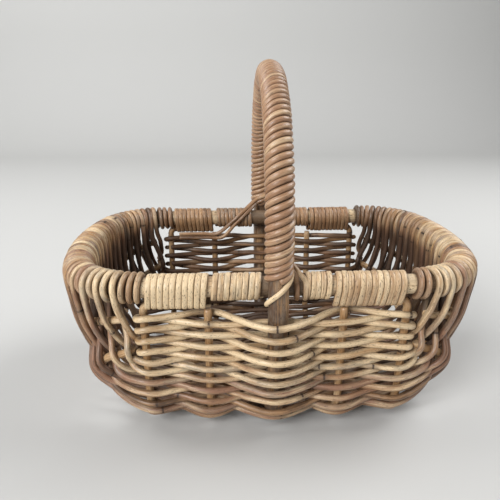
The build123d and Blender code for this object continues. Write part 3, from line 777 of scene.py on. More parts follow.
def cane_skin():
    """The shared look of cane: its colour, roughness and height from the four attributes.

    Shade, hue and greyness come from the trait. Streaks run along the grain, clouds cross it,
    specks and scars are marked, node rings are dark lines with a scuffed edge, and painted shade
    darkens what lies deep in the weave, on the canes' edges and in the windings' seams.
    """
    group = bpy.data.node_groups.get("cane_skin")
    if group:
        return group
    group = bpy.data.node_groups.new("cane_skin", "ShaderNodeTree")
    for name in SKIN_COLOURS:
        group.interface.new_socket(name=name, in_out="INPUT", socket_type="NodeSocketColor")
    for name in SKIN_AMOUNTS:
        group.interface.new_socket(name=name, in_out="INPUT", socket_type="NodeSocketFloat")
    for name, kind in SKIN_RESULTS.items():
        group.interface.new_socket(name=name, in_out="OUTPUT", socket_type=kind)
    tree = Tree(group)
    given, result = tree.node("NodeGroupInput").outputs, tree.node("NodeGroupOutput").inputs
    grain = tree.node("ShaderNodeAttribute", attribute_name="grain").outputs["Vector"]
    trait = tree.node("ShaderNodeAttribute", attribute_name="trait").outputs["Vector"]
    ring = tree.node("ShaderNodeAttribute", attribute_name="ring").outputs["Fac"]
    # The painted shade of each place, from 0 to 1: deep in the weave, on cane edges and in seams
    dirt = tree.node("ShaderNodeAttribute", attribute_name="dirt").outputs["Fac"]
    parts = tree.node("ShaderNodeSeparateXYZ")
    tree.put(trait, parts.inputs[0])
    shade, hue, grey = parts.outputs

    clouds = tree.centred(tree.noise(grain, *CLOUD_NOISE), NOISE_GAIN)
    streaks = tree.centred(tree.noise(grain, *STREAK_NOISE), NOISE_GAIN)
    fibres = tree.noise(grain, *FIBRE_NOISE)
    blotch = tree.noise(grain, *BLOTCH_NOISE)
    specks = tree.noise(grain, *SPECK_NOISE)
    scars = tree.noise(grain, *SCAR_NOISE)

    clouds = tree.maths("MULTIPLY", clouds, given["Clouds"])
    wander = tree.maths("ADD", clouds, tree.maths("MULTIPLY", streaks, STREAK_SHARE))
    value = tree.maths("ADD", shade, wander, clamp=True)
    warm = tree.mix(hue, given["Honey"], given["Pink"])
    lower = tree.mix(tree.ramp(value, *WARM_STEP), given["Dark"], warm)
    skin = tree.mix(tree.ramp(value, *PALE_STEP), lower, given["Pale"])
    weathered = tree.maths("MULTIPLY", tree.ramp(blotch, *WEATHERED_STEP), grey)
    skin = tree.mix(weathered, skin, given["Grey"])
    speck = tree.maths("MULTIPLY", tree.ramp(specks, *SPECK_STEP), given["Specks"])
    skin = tree.mix(speck, skin, given["Mark"])
    scar = tree.maths("MULTIPLY", tree.ramp(scars, *SCAR_STEP), given["Specks"])
    skin = tree.mix(scar, skin, given["Mark"])

    frayed = tree.maths("ADD", ring, tree.centred(blotch, RING_FRAY))
    broken = tree.ramp(frayed, *RING_STEP), tree.ramp(blotch, *RING_BREAK_STEP)
    line = tree.maths("MULTIPLY", *broken)
    halo = tree.maths("MULTIPLY", tree.ramp(frayed, *HALO_STEP), fibres)
    skin = tree.mix(halo, skin, given["Dark"])
    skin = tree.mix(line, skin, given["Mark"])
    # Painted shade: the skin darkens towards Dark as far as the shade attribute and its amount say
    deep = tree.maths("MULTIPLY", tree.ramp(dirt, *PAINTED_SHADE_STEP), given["Dirt"])
    shadowed = tree.mix(1.0, skin, given["Dark"], "MULTIPLY")
    skin = tree.mix(deep, skin, tree.mix(DEEP_SHARE, shadowed, given["Dark"]))
    tree.put(skin, result["Color"])

    worn = tree.maths("ADD", streaks, tree.maths("ADD", line, dirt))
    tree.put(tree.ramp(worn, *ROUGHNESS_STEP), result["Roughness"])
    raised = tree.maths("MULTIPLY", fibres, FIBRE_RELIEF)
    raised = tree.maths("ADD", raised, tree.maths("MULTIPLY", streaks, STREAK_RELIEF))
    cut = tree.maths("ADD", scar, tree.maths("MULTIPLY", line, RING_RELIEF))
    tree.put(tree.maths("SUBTRACT", raised, cut), result["Height"])
    return group


def cane_material(name, specks=0.5, gloss=0.12, dirt=0.85, clouds=0.6, relief=0.35 * MM):
    """A cane material, with the shared skin and its own amounts of specks, gloss, painted shade,
    clouds and relief.

    The frame's own materials bear the slots' names, so these bear others.
    """
    label = f"{name}_skin"
    found = bpy.data.materials.get(label)
    if found:
        return found
    material = bpy.data.materials.new(label)
    material.use_nodes = True
    tree = Tree(material.node_tree)
    shader = material.node_tree.nodes["Principled BSDF"]
    skin = tree.node("ShaderNodeGroup", node_tree=cane_skin())
    for socket, colour in SKIN_COLOURS.items():
        tree.put(tuple(getattr(colours(), colour)), skin.inputs[socket])
    for socket, amount in zip(SKIN_AMOUNTS, (specks, dirt, clouds)):
        tree.put(amount, skin.inputs[socket])
    bump = tree.node("ShaderNodeBump")
    tree.put(BUMP_STRENGTH, bump.inputs["Strength"])
    tree.put(relief, bump.inputs["Distance"])
    tree.put(skin.outputs["Height"], bump.inputs["Height"])
    tree.put(skin.outputs["Color"], shader.inputs["Base Color"])
    tree.put(skin.outputs["Roughness"], shader.inputs["Roughness"])
    tree.put(bump.outputs["Normal"], shader.inputs["Normal"])
    tree.put(gloss, shader.inputs["Coat Weight"])
    tree.put(COAT_ROUGHNESS, shader.inputs["Coat Roughness"])
    tree.put(SPECULAR_LEVEL, shader.inputs["Specular IOR Level"])
    return material


# Rim, hoop and ribs

SPLICE_GAP = 0.1 * MM
TIE_Z = RIM_Z - RIM_R - RIB_R - CLEARANCE
TIE_RUN = (WALL_TOP_Z - TIE_Z) / LEAN_DOWN
TIE_Y = WALL_TOP_Y - TIE_RUN * LEAN_IN
WRAP_FOOT_Z = TIE_Z - RIB_R - CLEARANCE - WRAP_CAD_D


def straight_side(start, stop, count, y):
    """Places (x, y) on a straight side of the rim."""
    x = np.linspace(start, stop, count)
    return np.stack([x, np.full_like(x, y)], -1)


def level_rim():
    """Points round the rim's middle line, from the splice under the back's left short winding
    and round to it again.

    The front and the back are straight; the ends follow rim_end.
    """
    along = np.linspace(0, END_LENGTH, 90)
    splice = sum(BACK_WRAP_SHARES["left_short"][:2]) / 2 * CORNER_RIB_X
    back = straight_side(splice, HALF_STRAIGHT, 40, HALF_WIDTH)[:-1]
    right = np.stack(rim_end(1, along[::-1])[:2], -1)
    front = straight_side(HALF_STRAIGHT, -HALF_STRAIGHT, 60, -HALF_WIDTH)[1:-1]
    left = np.stack(rim_end(-1, along)[:2], -1)
    rest = straight_side(-HALF_STRAIGHT, splice - SPLICE_GAP, 20, HALF_WIDTH)[1:]
    line = np.concatenate([back, right, front, left, rest])
    return np.column_stack([line, np.full(len(line), RIM_Z)])


def hoop_line():
    """Points round the hoop's middle line, from the splice under the base up the front, over
    the arch and down the back to the splice.

    The keel follows the section at the hoop's offset, the legs are straight and the arch is a
    half circle.
    """
    run = np.linspace(SECTION_RUN / 2 - SPLICE_GAP, 0, 90)
    keel = on_section(0.0, run, hoop_offset(run))[:, :3]
    leg = np.linspace(keel[-1, 2], ARCH_Z, 24)[1:-1]
    leg = np.stack([np.zeros_like(leg), np.full_like(leg, -HOOP_Y), leg], -1)
    along, up = turned(np.linspace(180, 90, 60))
    arch = np.stack([np.zeros_like(up), ARCH_R * along, ARCH_Z + ARCH_R * up], -1)
    half = np.concatenate([keel, leg, arch])
    return np.concatenate([half, half[-2::-1] * (1, -1, 1)])


def rib_outward(run):
    """The outward direction of the section as a vector."""
    _, _, ny, nz = section(run)
    return np.stack([np.zeros_like(ny), ny, nz], -1)


def cross_rib(side):
    """A cross rib's points and its outward directions, from wall top to wall top."""
    start = (WALL_TOP_Z - WRAP_FOOT_Z) / LEAN_DOWN
    run = np.linspace(start, SECTION_RUN - start, 130)
    return on_section(side * CROSS_RIB_X, run)[:, :3], rib_outward(run)


def corner_rib(side):
    """A corner rib's points and its outward directions: down one wall, under and up the other,
    with both ends bent in under the rim by nearly a quarter circle.
    """
    inner = CORNER_RIB_X * TIE_INNER_SHARE
    up, out = turned(np.linspace(90, 10, 7))
    bend_x = CORNER_RIB_X - CORNER_BEND * (1 - up)
    bend_run = TIE_RUN + CORNER_BEND * (1 - out)
    straight = np.linspace(inner, bend_x[0], 12)[:-1]
    start = TIE_RUN + CORNER_BEND
    wall = np.linspace(start, SECTION_RUN - start, 130)
    x = np.concatenate([straight, bend_x, np.full_like(wall, CORNER_RIB_X), bend_x[::-1], straight[::-1]])
    tie = np.full_like(straight, TIE_RUN)
    run = np.concatenate([tie, bend_run, wall, SECTION_RUN - bend_run[::-1], SECTION_RUN - tie])
    return on_section(side * x, run)[:, :3], rib_outward(run)


def end_rib(side, share):
    """An end rib's points across the long rows, and its outward directions."""
    number = np.linspace(END_RIB_START, len(LONG_ROWS) - 1 - END_RIB_START, 120)
    line, outward = on_end(side, *lane(number), share)
    return line[:, :3], outward


# Rows of the weave


def sign(row):
    """1 where the row passes outside the hoop, the corner ribs and the high end ribs."""
    return 1 - 2 * (row % 2)


def row_end(rng, side, row):
    """Stations of a long row's end, from the corner rib up the end wall and over the rim.

    It weaves past the low and the high end rib. A row that comes up inside the rim ends in a
    hook outside it, and one that comes up outside ends in a tail down the inside.
    """
    foot, head = lane(LONG_ROWS.index(row))
    head = head + rng.normal(0, HEAD_WANDER)
    loop = sizes().rim + sizes().weaver
    low, high = LOW_END_RIB_SHARE, HIGH_END_RIB_SHARE
    near_rim = (high + 1) / 2
    share = np.array([low / 2, low, (low + high) / 2, high, near_rim])
    out = np.array([0, -OVER_RIB, 0, OVER_RIB, (loop + OVER_RIB) / 2]) * sign(row)
    climb = on_end(side, foot + rng.normal(0, FOOT_WANDER, len(share)), head, share, out)[0]
    if sign(row) < 0:
        turn = np.linspace(LOOP_INSIDE, -HOOK_TURN - rng.uniform(*HOOK_SPREAD), 8)
        return np.vstack([climb, round_rim(side, head, loop, turn)])
    over = round_rim(side, head, loop, np.linspace(LOOP_OUTSIDE, LOOP_INSIDE, 5))
    inside = -OVER_RIB - 2 * WEAVER_CAD_R - CLEARANCE
    tail_share = np.array([near_rim, high, TAIL_END_SHARE - rng.uniform(0, TAIL_SPREAD)])
    tail = on_end(side, foot, head, tail_share, np.array([-loop, inside, inside]))[0]
    return np.vstack([climb, over, tail])


def row_middle(rng, row):
    """Stations of a row between the corner ribs, from left to right, over and under the ribs."""
    between = (CROSS_RIB_X + CORNER_RIB_X) / 2
    x = np.array([-CORNER_RIB_X, -between, -CROSS_RIB_X, 0, CROSS_RIB_X, between, CORNER_RIB_X])
    run = row_run(row) + rng.normal(0, ROW_WANDER, len(x))
    middle = run[len(x) // 2]
    before, after = hoop_offset(middle - WEAVER_CAD_R), hoop_offset(middle + WEAVER_CAD_R)
    slope = (after - before) / (2 * WEAVER_CAD_R)
    hoop = hoop_offset(middle) + sign(row) * OVER_HOOP * math.hypot(1, slope)
    rib = sign(row) * OVER_RIB
    return on_section(x, run, np.array([rib, 0, -rib, hoop, -rib, 0, rib]))


def turn_back(side, row):
    """Stations round a corner rib, from a row's outside to the next row's inside."""
    share = np.array([1, 2, 3]) / 4
    around, out = turned(90 - 180 * share)
    return on_section(side * (CORNER_RIB_X + OVER_RIB * around), row_run(row + share), OVER_RIB * out)


def short_row(rng, row, side):
    """Stations of a short cane: a row, the turn round a corner rib and the next row."""
    first, second = row_middle(rng, row), row_middle(rng, row + 1)
    if side < 0:
        first, second = first[::-1], second[::-1]
    outer_end = turn_back(-side, row)[:2][::-1]
    return np.vstack([outer_end, first, turn_back(side, row), second[::-1]])


def long_row(rng, row):
    """Stations of a long cane from rim end to rim end."""
    return np.vstack([row_end(rng, -1, row)[::-1], row_middle(rng, row), row_end(rng, 1, row)])


def row_trait(rng, row):
    """A row's shade, hue and greyness: palest high on the front and brown at the back, each with
    a chance change. The brown at the back is partly the canes' own colour and partly painted
    shade inside the basket.
    """
    run = row_run(row) / SECTION_RUN
    shade = np.interp(run, ROW_PLACES, ROW_SHADES)
    hue = np.interp(run, ROW_PLACES, ROW_HUES)
    grey = np.clip(rng.normal(ROW_GREY, ROW_GREY_SPREAD), 0, GREYEST)
    shade = shade + rng.normal(0, ROW_SHADE_SPREAD)
    hue = np.clip(hue + rng.normal(0, ROW_HUE_SPREAD), 0, 1)
    return np.array([shade, hue, grey])


def depth_in_weave(out):
    """How deep in the weave a place lies, from its distance out of the wall's middle surface; this
    sets its painted shade.
    """
    return np.clip((UNSHADED_OUT - out) / WEAVE_SHADE_REACH, 0, 1)


def add_weaver(bundle, control, trait, level=False):
    """Adds one weaving cane along its stations, with a slight wander.

    The profile's first axis points into the basket where the cane runs to the right. A level
    cane turns back, so there its direction along X says how far that holds. The traits change by
    the ends' change past the corner ribs, and by the loops' change near the rim there.
    """
    line = smooth_curve(control)
    along = lengths(line[:, :3])
    across = unit(line[:, 3:6])
    line[:, :3] += across * wavering(bundle.rng, along, *WEAVER_WANDER)[:, None]
    profile = round_profile(sizes().weaver)
    rightward = unit(np.gradient(line[:, :3], axis=0))[:, 0] if level else np.ones(len(line))
    out = line[:, 6:] - rightward[:, None] * profile[:, 0]
    # Painted shade along the upper and lower edges of each cane, where it meets the rows beside it
    to_edge = np.abs(profile[:, 1]) / sizes().weaver
    edge = np.clip(to_edge * EDGE_SHADE_GAIN - EDGE_SHADE_START, 0, 1) * EDGE_SHADE
    girth = 1 + bundle.rng.normal(0, GIRTH_SPREAD)
    at_end = ease((np.abs(line[:, :1]) - CORNER_RIB_X) / END_SHADE_REACH)
    at_rim = ease((line[:, 2:3] - RIM_Z) / LOOP_SHADE_REACH + 1)
    trait = trait + at_end * ((1 - at_rim) * END_TRAIT_CHANGE + at_rim * LOOP_TRAIT_CHANGE)
    # Painted shade: darker deep in the weave and on the cane's edges
    dirt = np.maximum(depth_in_weave(out), edge)
    bundle.tube(line[:, :3], across, profile, trait, girth, dirt=dirt)


# Windings


def wound_outline(long):
    """The closed line that a winding follows round the rim, as (out, up) from the rim's middle,
    with its outward directions, evenly spaced from the lowest place.

    It is the convex outline round one circle, or round the rim's circle and the rib's below it:
    in each direction, the place of the circle that reaches furthest.
    """
    angle = np.radians(np.linspace(-90, 270, 4 * OUTLINE_STEPS + 1))
    way = np.stack([np.cos(angle), np.sin(angle)], -1)
    centres = np.array([[0.0, 0.0], [TIE_Y - HALF_WIDTH, TIE_Z - RIM_Z]])
    radii = np.array([sizes().rim, sizes().rib])
    reach = way @ centres.T + radii
    pick = reach.argmax(axis=1) if long else np.zeros(len(angle), int)
    places = centres[pick] + way * radii[pick][:, None]
    length = lengths(places)
    even = np.linspace(0, length[-1], OUTLINE_STEPS + 1)
    table = np.concatenate([places, way], -1)
    return np.stack([np.interp(even, length, column) for column in table.T], -1)


def rim_place(side, along):
    """Places and outward directions on the rim's front or back, by length from its middle."""
    along = np.asarray(along, float)
    corner = np.abs(along) > HALF_STRAIGHT
    x, y, nx, ny = rim_end(np.sign(along), np.maximum(np.abs(along) - HALF_STRAIGHT, 0))
    x, y = np.where(corner, x, along), np.where(corner, -side * y, side * HALF_WIDTH)
    nx, ny = np.where(corner, nx, 0.0), np.where(corner, -side * ny, side)
    return x, y, nx, ny


def seam_shade(profile):
    """The painted shade in the seams beside a wound cane: none on its crown, most at its foot."""
    height = profile[:, 1] / profile[:, 1].max()
    return np.clip(SEAM_SHADE - height * SEAM_SHADE_GAIN, 0, 1)


def rim_winding(bundle, side, start, stop, turns, long, trait, profile):
    """Adds a cane wound round the rim: the outline's place at the turn's share, moved along the
    rim at a steady rate.
    """
    outline = wound_outline(long)
    share = np.linspace(0, turns, turns * WINDING_STEPS + 1)
    table = np.linspace(0, 1, len(outline))
    out, up, way_out, way_up = (np.interp(share % 1, table, column) for column in outline.T)
    along = start + (stop - start) * share / turns
    along = along + wavering(bundle.rng, share, *WINDING_SLIDE_WANDER)
    x, y, nx, ny = rim_place(side, along)
    points = np.stack([x + out * nx, y + out * ny, RIM_Z + up], -1)
    outward = np.stack([way_out * nx, way_out * ny, way_up], -1)
    points += outward * wavering(bundle.rng, share, *WINDING_LIFT_WANDER)[:, None]
    bundle.tube(points, outward, profile, trait, rings=False, dirt=seam_shade(profile))


HANDLE_LEG = ARCH_Z - RIM_Z - HANDLE_WRAP_END
HANDLE_RUN = 2 * HANDLE_LEG + math.pi * ARCH_R


def handle_strand(bundle, number, trait):
    """Adds one of the split canes wound side by side round the handle.

    Its line is a helix: places on the handle's middle line, which is a leg, a half circle and a
    leg, plus a radius that turns with the length.
    """
    along = np.linspace(0, HANDLE_RUN, int(HANDLE_RUN / HANDLE_LEAD * STRAND_STEPS))
    near = np.minimum(along, HANDLE_RUN - along)
    mirror = np.where(along > HANDLE_RUN / 2, -1.0, 1.0)
    angle = math.pi - np.maximum(near - HANDLE_LEG, 0) / ARCH_R
    y = mirror * ARCH_R * np.cos(angle)
    z = ARCH_Z + ARCH_R * np.sin(angle) - np.maximum(HANDLE_LEG - near, 0)
    middle = np.stack([np.zeros_like(y), y, z], -1)
    outward = np.stack([np.zeros_like(y), mirror * np.cos(angle), np.sin(angle)], -1)
    turn = 2 * math.pi * (along / HANDLE_LEAD + number / HANDLE_STRANDS)
    turn = turn + wavering(bundle.rng, along, *STRAND_TURN_WANDER)
    radial = outward * np.cos(turn)[:, None] + np.array([1.0, 0, 0]) * np.sin(turn)[:, None]
    radius = sizes().hoop + wavering(bundle.rng, along, *STRAND_LIFT_WANDER)
    points = middle + radial * radius[:, None]
    width, depth = sizes().handle_wrap_width, sizes().handle_wrap_depth
    profile = split_profile(width, depth, HANDLE_WRAP_FULLNESS)
    bundle.tube(points, radial, profile, trait, rings=False, dirt=seam_shade(profile))


# Lashings: their routes are given, in degrees round the handle's leg and round the rim

FRONT_STEPS = 8
FRONT_TURN_START = 186
FRONT_TURN_STEP = 26
FRONT_CLIMB = 4.2 * MM
FRONT_STEPS_BELOW_RIM = 2.2
FRONT_SEAT_SHARE = 0.7

RIGHT_PITCH = 4.6 * MM
RIGHT_OUT_SHARE = 0.6
RIGHT_FOOT_STEP = 2 * MM
RIGHT_LEG_TURNS = (60, 18)
RIGHT_LEG_HEIGHTS = np.array([9, 1]) * MM
RIGHT_RIM_TURNS = 40 - 34 * np.arange(8)
RIGHT_SIDE_GAP = 1.5 * MM
RIGHT_DRIFT = 2 * MM

BACK_PITCH = 4.7 * MM
BACK_PITCH_SIDEWAYS = 1.4
BACK_LEG_GAP = 1 * MM
BACK_LEG_TURNS = (60, 85, 110)
BACK_LEG_HEIGHTS = np.array([9, 7, 4]) * MM
BACK_SIDE_GAP = 2 * MM
BACK_RIM_TURNS = (135, 168, 198)
BACK_RIM_DRIFTS = np.array([0, 8, 16]) * MM
BACK_INSIDE_START = 33 * MM
BACK_INSIDE_GAP = 2.3 * MM
BACK_INSIDE_DROP = 2.6 * MM
BACK_INSIDE_STEPS = 4


def leg_place(side, radius, angle, height):
    """Places round the handle's leg: 0 is right and 90 inwards; height is above the rim."""
    across, inward = turned(np.asarray(angle, float))
    z = RIM_Z + np.asarray(height, float)
    return np.stack([radius * across, side * (HOOP_Y - radius * inward), z], -1)


def rim_spot(side, radius, x, angle):
    """Places round the straight rim at x: 0 is outwards and 90 on top."""
    out, up = turned(np.asarray(angle, float))
    x = np.broadcast_to(np.asarray(x, float), out.shape)
    return np.stack([x, side * (HALF_WIDTH + radius * out), RIM_Z + radius * up], -1)


def front_lashing():
    """Stations of the cane laid slantwise over the handle's foot, with its cut end at the left."""
    step = np.arange(FRONT_STEPS)
    radius = sizes().hoop + sizes().lashing * FRONT_SEAT_SHARE
    height = (step - FRONT_STEPS_BELOW_RIM) * FRONT_CLIMB
    places = leg_place(-1, radius, FRONT_TURN_START + FRONT_TURN_STEP * step, height)
    return stations(places, (0, 0, 1))


def right_lashing(number):
    """Stations of a cane that comes from behind the handle's foot and round the rim."""
    gap = number * RIGHT_PITCH
    radius = sizes().hoop + sizes().handle_wrap_depth + sizes().lashing + gap * RIGHT_OUT_SHARE
    foot = HANDLE_WRAP_END + number * RIGHT_FOOT_STEP
    start = leg_place(-1, radius, RIGHT_LEG_TURNS, foot + RIGHT_LEG_HEIGHTS)
    x = radius + RIGHT_SIDE_GAP + gap + np.linspace(0, RIGHT_DRIFT, len(RIGHT_RIM_TURNS))
    over = rim_spot(-1, sizes().rim + sizes().lashing, x, RIGHT_RIM_TURNS)
    return stations(np.vstack([start, over]), (1, 0, 0))


def back_lashing(number):
    """Stations of a cane from the handle's back foot, over the rim and along under it inside."""
    gap = number * BACK_PITCH
    radius = sizes().hoop + sizes().handle_wrap_depth + sizes().lashing
    height = HANDLE_WRAP_END + gap + BACK_LEG_HEIGHTS
    start = leg_place(1, radius + BACK_LEG_GAP, BACK_LEG_TURNS, height)
    x = radius + BACK_SIDE_GAP + BACK_PITCH_SIDEWAYS * gap
    rim_radius = sizes().rim + sizes().rim_wrap_depth + sizes().lashing
    over = rim_spot(1, rim_radius, -x - BACK_RIM_DRIFTS, BACK_RIM_TURNS)
    last = CORNER_RIB_X - OVER_RIB - 2 * WEAVER_CAD_R
    along = np.linspace(x + BACK_INSIDE_START, last, BACK_INSIDE_STEPS)
    y = np.full_like(along, HALF_WIDTH - OVER_RIB - WEAVER_CAD_R - BACK_INSIDE_GAP)
    z = np.full_like(along, WRAP_FOOT_Z - BACK_INSIDE_DROP + gap)
    return stations(np.vstack([start, over, np.stack([-along, y, z], -1)]), (0, 0, 1))


# Operators


class TrugOperator:
    """What all the operators share."""

    bl_options = {"REGISTER", "UNDO"}


class TRUG_OT_rim(TrugOperator, bpy.types.Operator):
    """Adds the thick cane of the rim"""

    bl_idname = "trug.rim"
    bl_label = "Rim"

    def execute(self, context):
        bundle = Bundle(RIM_SEED)
        line = level_rim()
        # Painted shade on the rim's ends under the loops and on the stretch beside the hoop's feet
        reach = np.abs(line[:, :1])
        rim_in_shade = (reach > HALF_STRAIGHT) | (reach < RIM_FOOT_REACH)
        profile = round_profile(sizes().rim, THICK_CANE_SIDES)
        bundle.tube(line, (0, 0, 1), profile, RIM_TRAIT, rings=False, dirt=rim_in_shade * RIM_PAINTED_SHADE)
        dress(bundle.make("rim", cane_material("rim_cane", specks=0.8)), "rim_cane", "rim_hoop")
        return {"FINISHED"}


class TRUG_OT_hoop(TrugOperator, bpy.types.Operator):
    """Adds the thick cane hoop: handle, middle rib and keel"""

    bl_idname = "trug.hoop"
    bl_label = "Handle hoop"

    def execute(self, context):
        bundle = Bundle(HOOP_SEED)
        profile = round_profile(sizes().hoop, THICK_CANE_SIDES)
        bundle.tube(hoop_line(), (1, 0, 0), profile, HOOP_TRAIT)
        dress(bundle.make("hoop", cane_material("hoop_cane", specks=0.7)), "hoop_cane", "handle_hoop")
        return {"FINISHED"}


class TRUG_OT_ribs(TrugOperator, bpy.types.Operator):
    """Adds the cross ribs, the corner ribs and the end ribs"""

    bl_idname = "trug.ribs"
    bl_label = "Ribs"

    def execute(self, context):
        material = cane_material("rib_cane", specks=0.4)
        for side, word in ((-1, "left"), (1, "right")):
            lines = {
                "cross_rib": cross_rib(side),
                "corner_rib": corner_rib(side),
                "high_end_rib": end_rib(side, HIGH_END_RIB_SHARE),
                "low_end_rib": end_rib(side, LOW_END_RIB_SHARE),
            }
            for number, (name, (points, outward)) in enumerate(lines.items()):
                bundle = Bundle(RIB_SEEDS[word] + number)
                trait = with_shade_spread(bundle.rng, RIB_TRAIT, RIB_SHADE_SPREAD)
                bundle.tube(points, outward, round_profile(sizes().rib), trait)
                dress(bundle.make(f"{word}_{name}_cane", material), "rib_cane", f"{word}_{name}")
        return {"FINISHED"}


class TRUG_OT_rim_windings(TrugOperator, bpy.types.Operator):
    """Adds the canes wound round the straight sides and the corners of the rim"""

    bl_idname = "trug.rim_windings"
    bl_label = "Rim windings"

    def execute(self, context):
        material = cane_material("rim_winding", specks=0.75, gloss=0.1, clouds=0.4)
        weaver = sizes().weaver
        corner_depth = CORNER_WRAP_DEPTH_SHARE * weaver
        corner_profile = split_profile(2 * weaver, corner_depth, CORNER_WRAP_FULLNESS)
        for side, word, shares in ((-1, "front", FRONT_WRAP_SHARES), (1, "back", BACK_WRAP_SHARES)):
            spans = {
                name: (start * CORNER_RIB_X, stop * CORNER_RIB_X, turns)
                for name, (start, stop, turns) in shares.items()
            }
            last = spans["left_long"][0]
            outer = CORNER_WRAP_STOP + WEAVER_CAD_R
            spans["left_corner"] = (-outer, last - WEAVER_CAD_R, CORNER_TURNS + 1)
            spans["right_corner"] = (CORNER_WRAP_START + WEAVER_CAD_R, outer, CORNER_TURNS)
            for number, (name, (start, stop, turns)) in enumerate(spans.items()):
                bundle = Bundle(RIM_WINDING_SEEDS[word] + number)
                trait = WRAP_TRAITS[word, name] + bundle.rng.normal(0, WRAP_TRAIT_SPREAD, 3)
                width = abs(stop - start) / turns * WRAP_OVERLAP
                profile = split_profile(width, sizes().rim_wrap_depth, WRAP_FULLNESS)
                if "corner" in name:
                    profile = corner_profile
                rim_winding(bundle, side, start, stop, turns, "long" in name, trait, profile)
                piece = bundle.make(f"{word}_{name}_winding", material)
                dress(piece, "rim_winding", f"{word}_{name}_wrap")
        return {"FINISHED"}


class TRUG_OT_handle_windings(TrugOperator, bpy.types.Operator):
    """Adds the split canes wound round the handle"""

    bl_idname = "trug.handle_windings"
    bl_label = "Handle windings"

    def execute(self, context):
        material = cane_material("handle_winding", specks=0.45, gloss=0.25, clouds=0.25)
        for number in range(HANDLE_STRANDS):
            bundle = Bundle(HANDLE_WINDING_SEED + number)
            trait = with_shade_spread(bundle.rng, HANDLE_WRAP_TRAIT, HANDLE_SHADE_SPREAD)
            handle_strand(bundle, number, trait)
            piece = bundle.make(f"handle_winding_{number + 1}", material)
            dress(piece, "handle_winding", f"handle_wrap_{number + 1}")
        return {"FINISHED"}


class TRUG_OT_lashings(TrugOperator, bpy.types.Operator):
    """Adds the canes that bind the handle's feet to the rim"""

    bl_idname = "trug.lashings"
    bl_label = "Lashings"

    def execute(self, context):
        material = cane_material("lashing_cane", specks=0.5)
        profile = round_profile(sizes().lashing)
        lines = {
            "front_lashing": front_lashing(),
            "right_lashing_1": right_lashing(0),
            "right_lashing_2": right_lashing(1),
            "back_lashing_1": back_lashing(0),
            "back_lashing_2": back_lashing(1),
        }
        for number, (name, control) in enumerate(lines.items()):
            bundle = Bundle(LASHING_SEED + number)
            line = smooth_curve(control, LASHING_STEP)
            across = unit(line[:, 3:6])
            bundle.tube(line[:, :3], across, profile, LASHING_TRAITS[name], rings=False)
            dress(bundle.make(f"{name}_cane", material), "lashing_cane", name)
        return {"FINISHED"}


class TRUG_OT_long_canes(TrugOperator, bpy.types.Operator):
    """Adds the weaving canes that run from rim end to rim end"""

    bl_idname = "trug.long_canes"
    bl_label = "Long canes"

    def execute(self, context):
        material = cane_material("weaver_cane")
        for start in range(0, len(LONG_ROWS), LONG_GROUP):
            bundle = Bundle(LONG_CANE_SEED + start)
            for row in LONG_ROWS[start : start + LONG_GROUP]:
                trait = row_trait(bundle.rng, row)
                add_weaver(bundle, long_row(bundle.rng, row), trait)
            group = start // LONG_GROUP + 1
            piece = bundle.make(f"long_weavers_{group}", material)
            dress(piece, "weaver_cane", f"long_canes_{group}")
        return {"FINISHED"}


class TRUG_OT_short_canes(TrugOperator, bpy.types.Operator):
    """Adds the weaving canes that turn back round the corner ribs"""

    bl_idname = "trug.short_canes"
    bl_label = "Short canes"

    def execute(self, context):
        count = sum(name.startswith("short_cane_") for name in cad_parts)
        if count != len(SHORT_ROWS):
            raise RuntimeError(f"{count} short canes in the frame, {len(SHORT_ROWS)} in the rows")
        material = cane_material("weaver_cane")
        for number, row in enumerate(SHORT_ROWS):
            bundle = Bundle(SHORT_CANE_SEED + number)
            side = 1 if number % 2 else -1
            trait = row_trait(bundle.rng, row)
            add_weaver(bundle, short_row(bundle.rng, row, side), trait, level=True)
            piece = bundle.make(f"short_weaver_{number + 1}", material)
            dress(piece, "weaver_cane", f"short_cane_{number + 1}")
        return {"FINISHED"}


# The stage: floor, lamps and camera

FLOOR_REACH = 6.0
FLOOR_DROP = 1 * MM
FLOOR_ROUGHNESS = 0.9
BACKDROP_PLACE = 1.6
BACKDROP_BEND = 0.5
ROOM_LIGHT = 0.18
ROOM_SEEN = 0.6
TRUG_MIDDLE = (0, 0, 0.12)

# Each lamp's place, the place it faces, its power in watts and its size
LAMPS = {
    "key": ((-1.2, -1.5, 1.2), TRUG_MIDDLE, 48, 1.0),
    "top": ((1.3, 0.3, 1.4), TRUG_MIDDLE, 30, 1.2),
    "wall": ((-1.2, 0.4, 1.6), (0, 2.1, 0.9), 32, 1.5),
}
CAMERA_PLACE = (-0.0388, -0.5108, 0.3190)
CAMERA_PITCH = 0.331
CAMERA_YAW = 0.040
CAMERA_LENS = 36.76
CAMERA_SENSOR = 36.0
CAMERA_CLIP = (0.02, 50)


def add_lamp(name, place, target, power, size):
    """Adds a square area lamp that faces a place."""
    lamp = bpy.data.lights.new(name, "AREA")
    lamp.energy, lamp.size = power, size
    thing = bpy.data.objects.new(name, lamp)
    thing.location = place
    thing.rotation_euler = (Vector(target) - Vector(place)).to_track_quat("-Z", "Y").to_euler()
    bpy.context.scene.collection.objects.link(thing)


